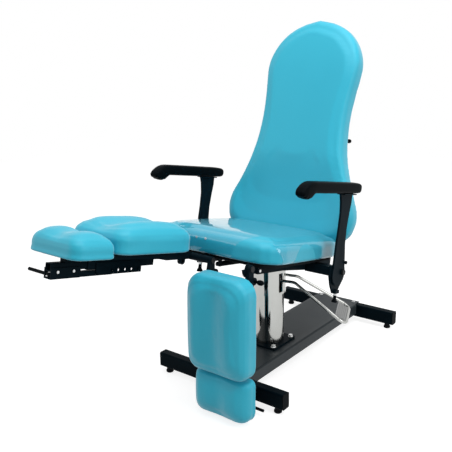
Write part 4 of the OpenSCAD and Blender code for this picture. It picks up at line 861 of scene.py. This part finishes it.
def ring_wall(bm, outer, inner, half, axes, segments=40):
    """A short tube round Z, closed at both faces, moved by axes."""
    new = []
    for z in (-half, half):
        for r in (outer, inner):
            new.append(bmesh.ops.create_circle(bm, segments=segments, radius=r, matrix=move(0, 0, z))["verts"])
    edges = [list(dict.fromkeys(e for v in ring for e in v.link_edges)) for ring in new]
    for a, c in ((0, 1), (2, 3), (0, 2), (1, 3)):
        bmesh.ops.bridge_loops(bm, edges=edges[a] + edges[c])
    verts = [v for ring in new for v in ring]
    bmesh.ops.transform(bm, matrix=axes, verts=verts)
    return verts


def foot_lever():
    bm = bmesh.new()
    rod_mesh(bm, filleted(LEVER_CORNERS, BEND_R), BAR_R)
    for s in (1, -1):
        at_pin = move(LEVER_PIN, s * LEVER_HALF, LEVER_Z) @ turn(90, "X")
        ring_wall(bm, EYE_R, EYE_BORE, EYE_HALF, at_pin)
    finish_mesh(bm, lever_axes)
    return piece("foot_lever_bar", bm, chrome, "lever", "chrome", ["foot_lever"])


print(foot_lever().name)

# %% [markdown]
# ## Light and floor
# A plain studio: one big soft lamp overhead and to the right, a fill from the left, and a pale room.
# The picture's background is white because the camera sees the world and the floor at full
# strength, while the light that reaches the chair stays at a plain level. The floor still takes the
# chair's shadow, because part of its brightness is real light.

# %% Room
SKY, FLOOR_GLOW, FLOOR_TONE = 0.42, 0.80, 0.46


def seen_directly(b, tree):
    """One for what the camera sees, straight or in metal and glass, and zero for the light."""
    path = tree.nodes.new("ShaderNodeLightPath")
    seen = Wire(b, path.outputs["Is Camera Ray"]) + Wire(b, path.outputs["Is Glossy Ray"])
    return seen + Wire(b, path.outputs["Is Transmission Ray"])


def room():
    world = bpy.data.worlds.new("studio")
    bpy.context.scene.world = world
    world.use_nodes = True
    tree = world.node_tree
    b = Bench(tree)
    sky = tree.nodes["Background"]
    sky.inputs["Color"].default_value = tone(1, 1, 1)
    seen = b.node("ShaderNodeMath", {"operation": "MINIMUM"}, {0: seen_directly(b, tree), 1: 1.0})
    strength = b.node("ShaderNodeMath", {"operation": "MULTIPLY_ADD"}, {0: seen, 1: 1.0 - SKY, 2: SKY})
    tree.links.new(strength.socket, sky.inputs["Strength"])


def floor():
    bm = bmesh.new()
    bmesh.ops.create_grid(bm, x_segments=1, y_segments=1, size=6.0)
    mesh = bpy.data.meshes.new("floor")
    bm.to_mesh(mesh)
    bm.free()
    made = bpy.data.objects.new("floor", mesh)
    bpy.context.scene.collection.objects.link(made)
    look = bpy.data.materials.new("pale_floor")
    look.use_nodes = True
    tree = look.node_tree
    seen = seen_directly(Bench(tree), tree)
    shader = tree.nodes["Principled BSDF"]
    shader.inputs["Base Color"].default_value = tone(FLOOR_TONE, FLOOR_TONE, FLOOR_TONE)
    shader.inputs["Roughness"].default_value = 0.9
    shader.inputs["Specular IOR Level"].default_value = 0.0
    shader.inputs["Emission Color"].default_value = tone(1, 1, 1)
    tree.links.new((seen * FLOOR_GLOW).socket, shader.inputs["Emission Strength"])
    made.data.materials.append(look)


def lamp(name, place, at, size, watts):
    data = bpy.data.lights.new(name, "AREA")
    data.energy, data.size, data.shape = watts, size, "SQUARE"
    made = bpy.data.objects.new(name, data)
    bpy.context.scene.collection.objects.link(made)
    made.location = place
    made.rotation_euler = (Vector(at) - Vector(place)).to_track_quat("-Z", "Y").to_euler()


room()
floor()
lamp("overhead", (0.6, -0.2, 3.0), (0, 0, 0.5), 2.4, 56)
lamp("right_window", (2.8, 0.3, 1.7), (0, 0.1, 0.7), 1.6, 26)
lamp("left_fill", (-2.2, -2.6, 1.6), (0, 0, 0.6), 2.0, 14)
bpy.context.scene.view_settings.view_transform = "Standard"
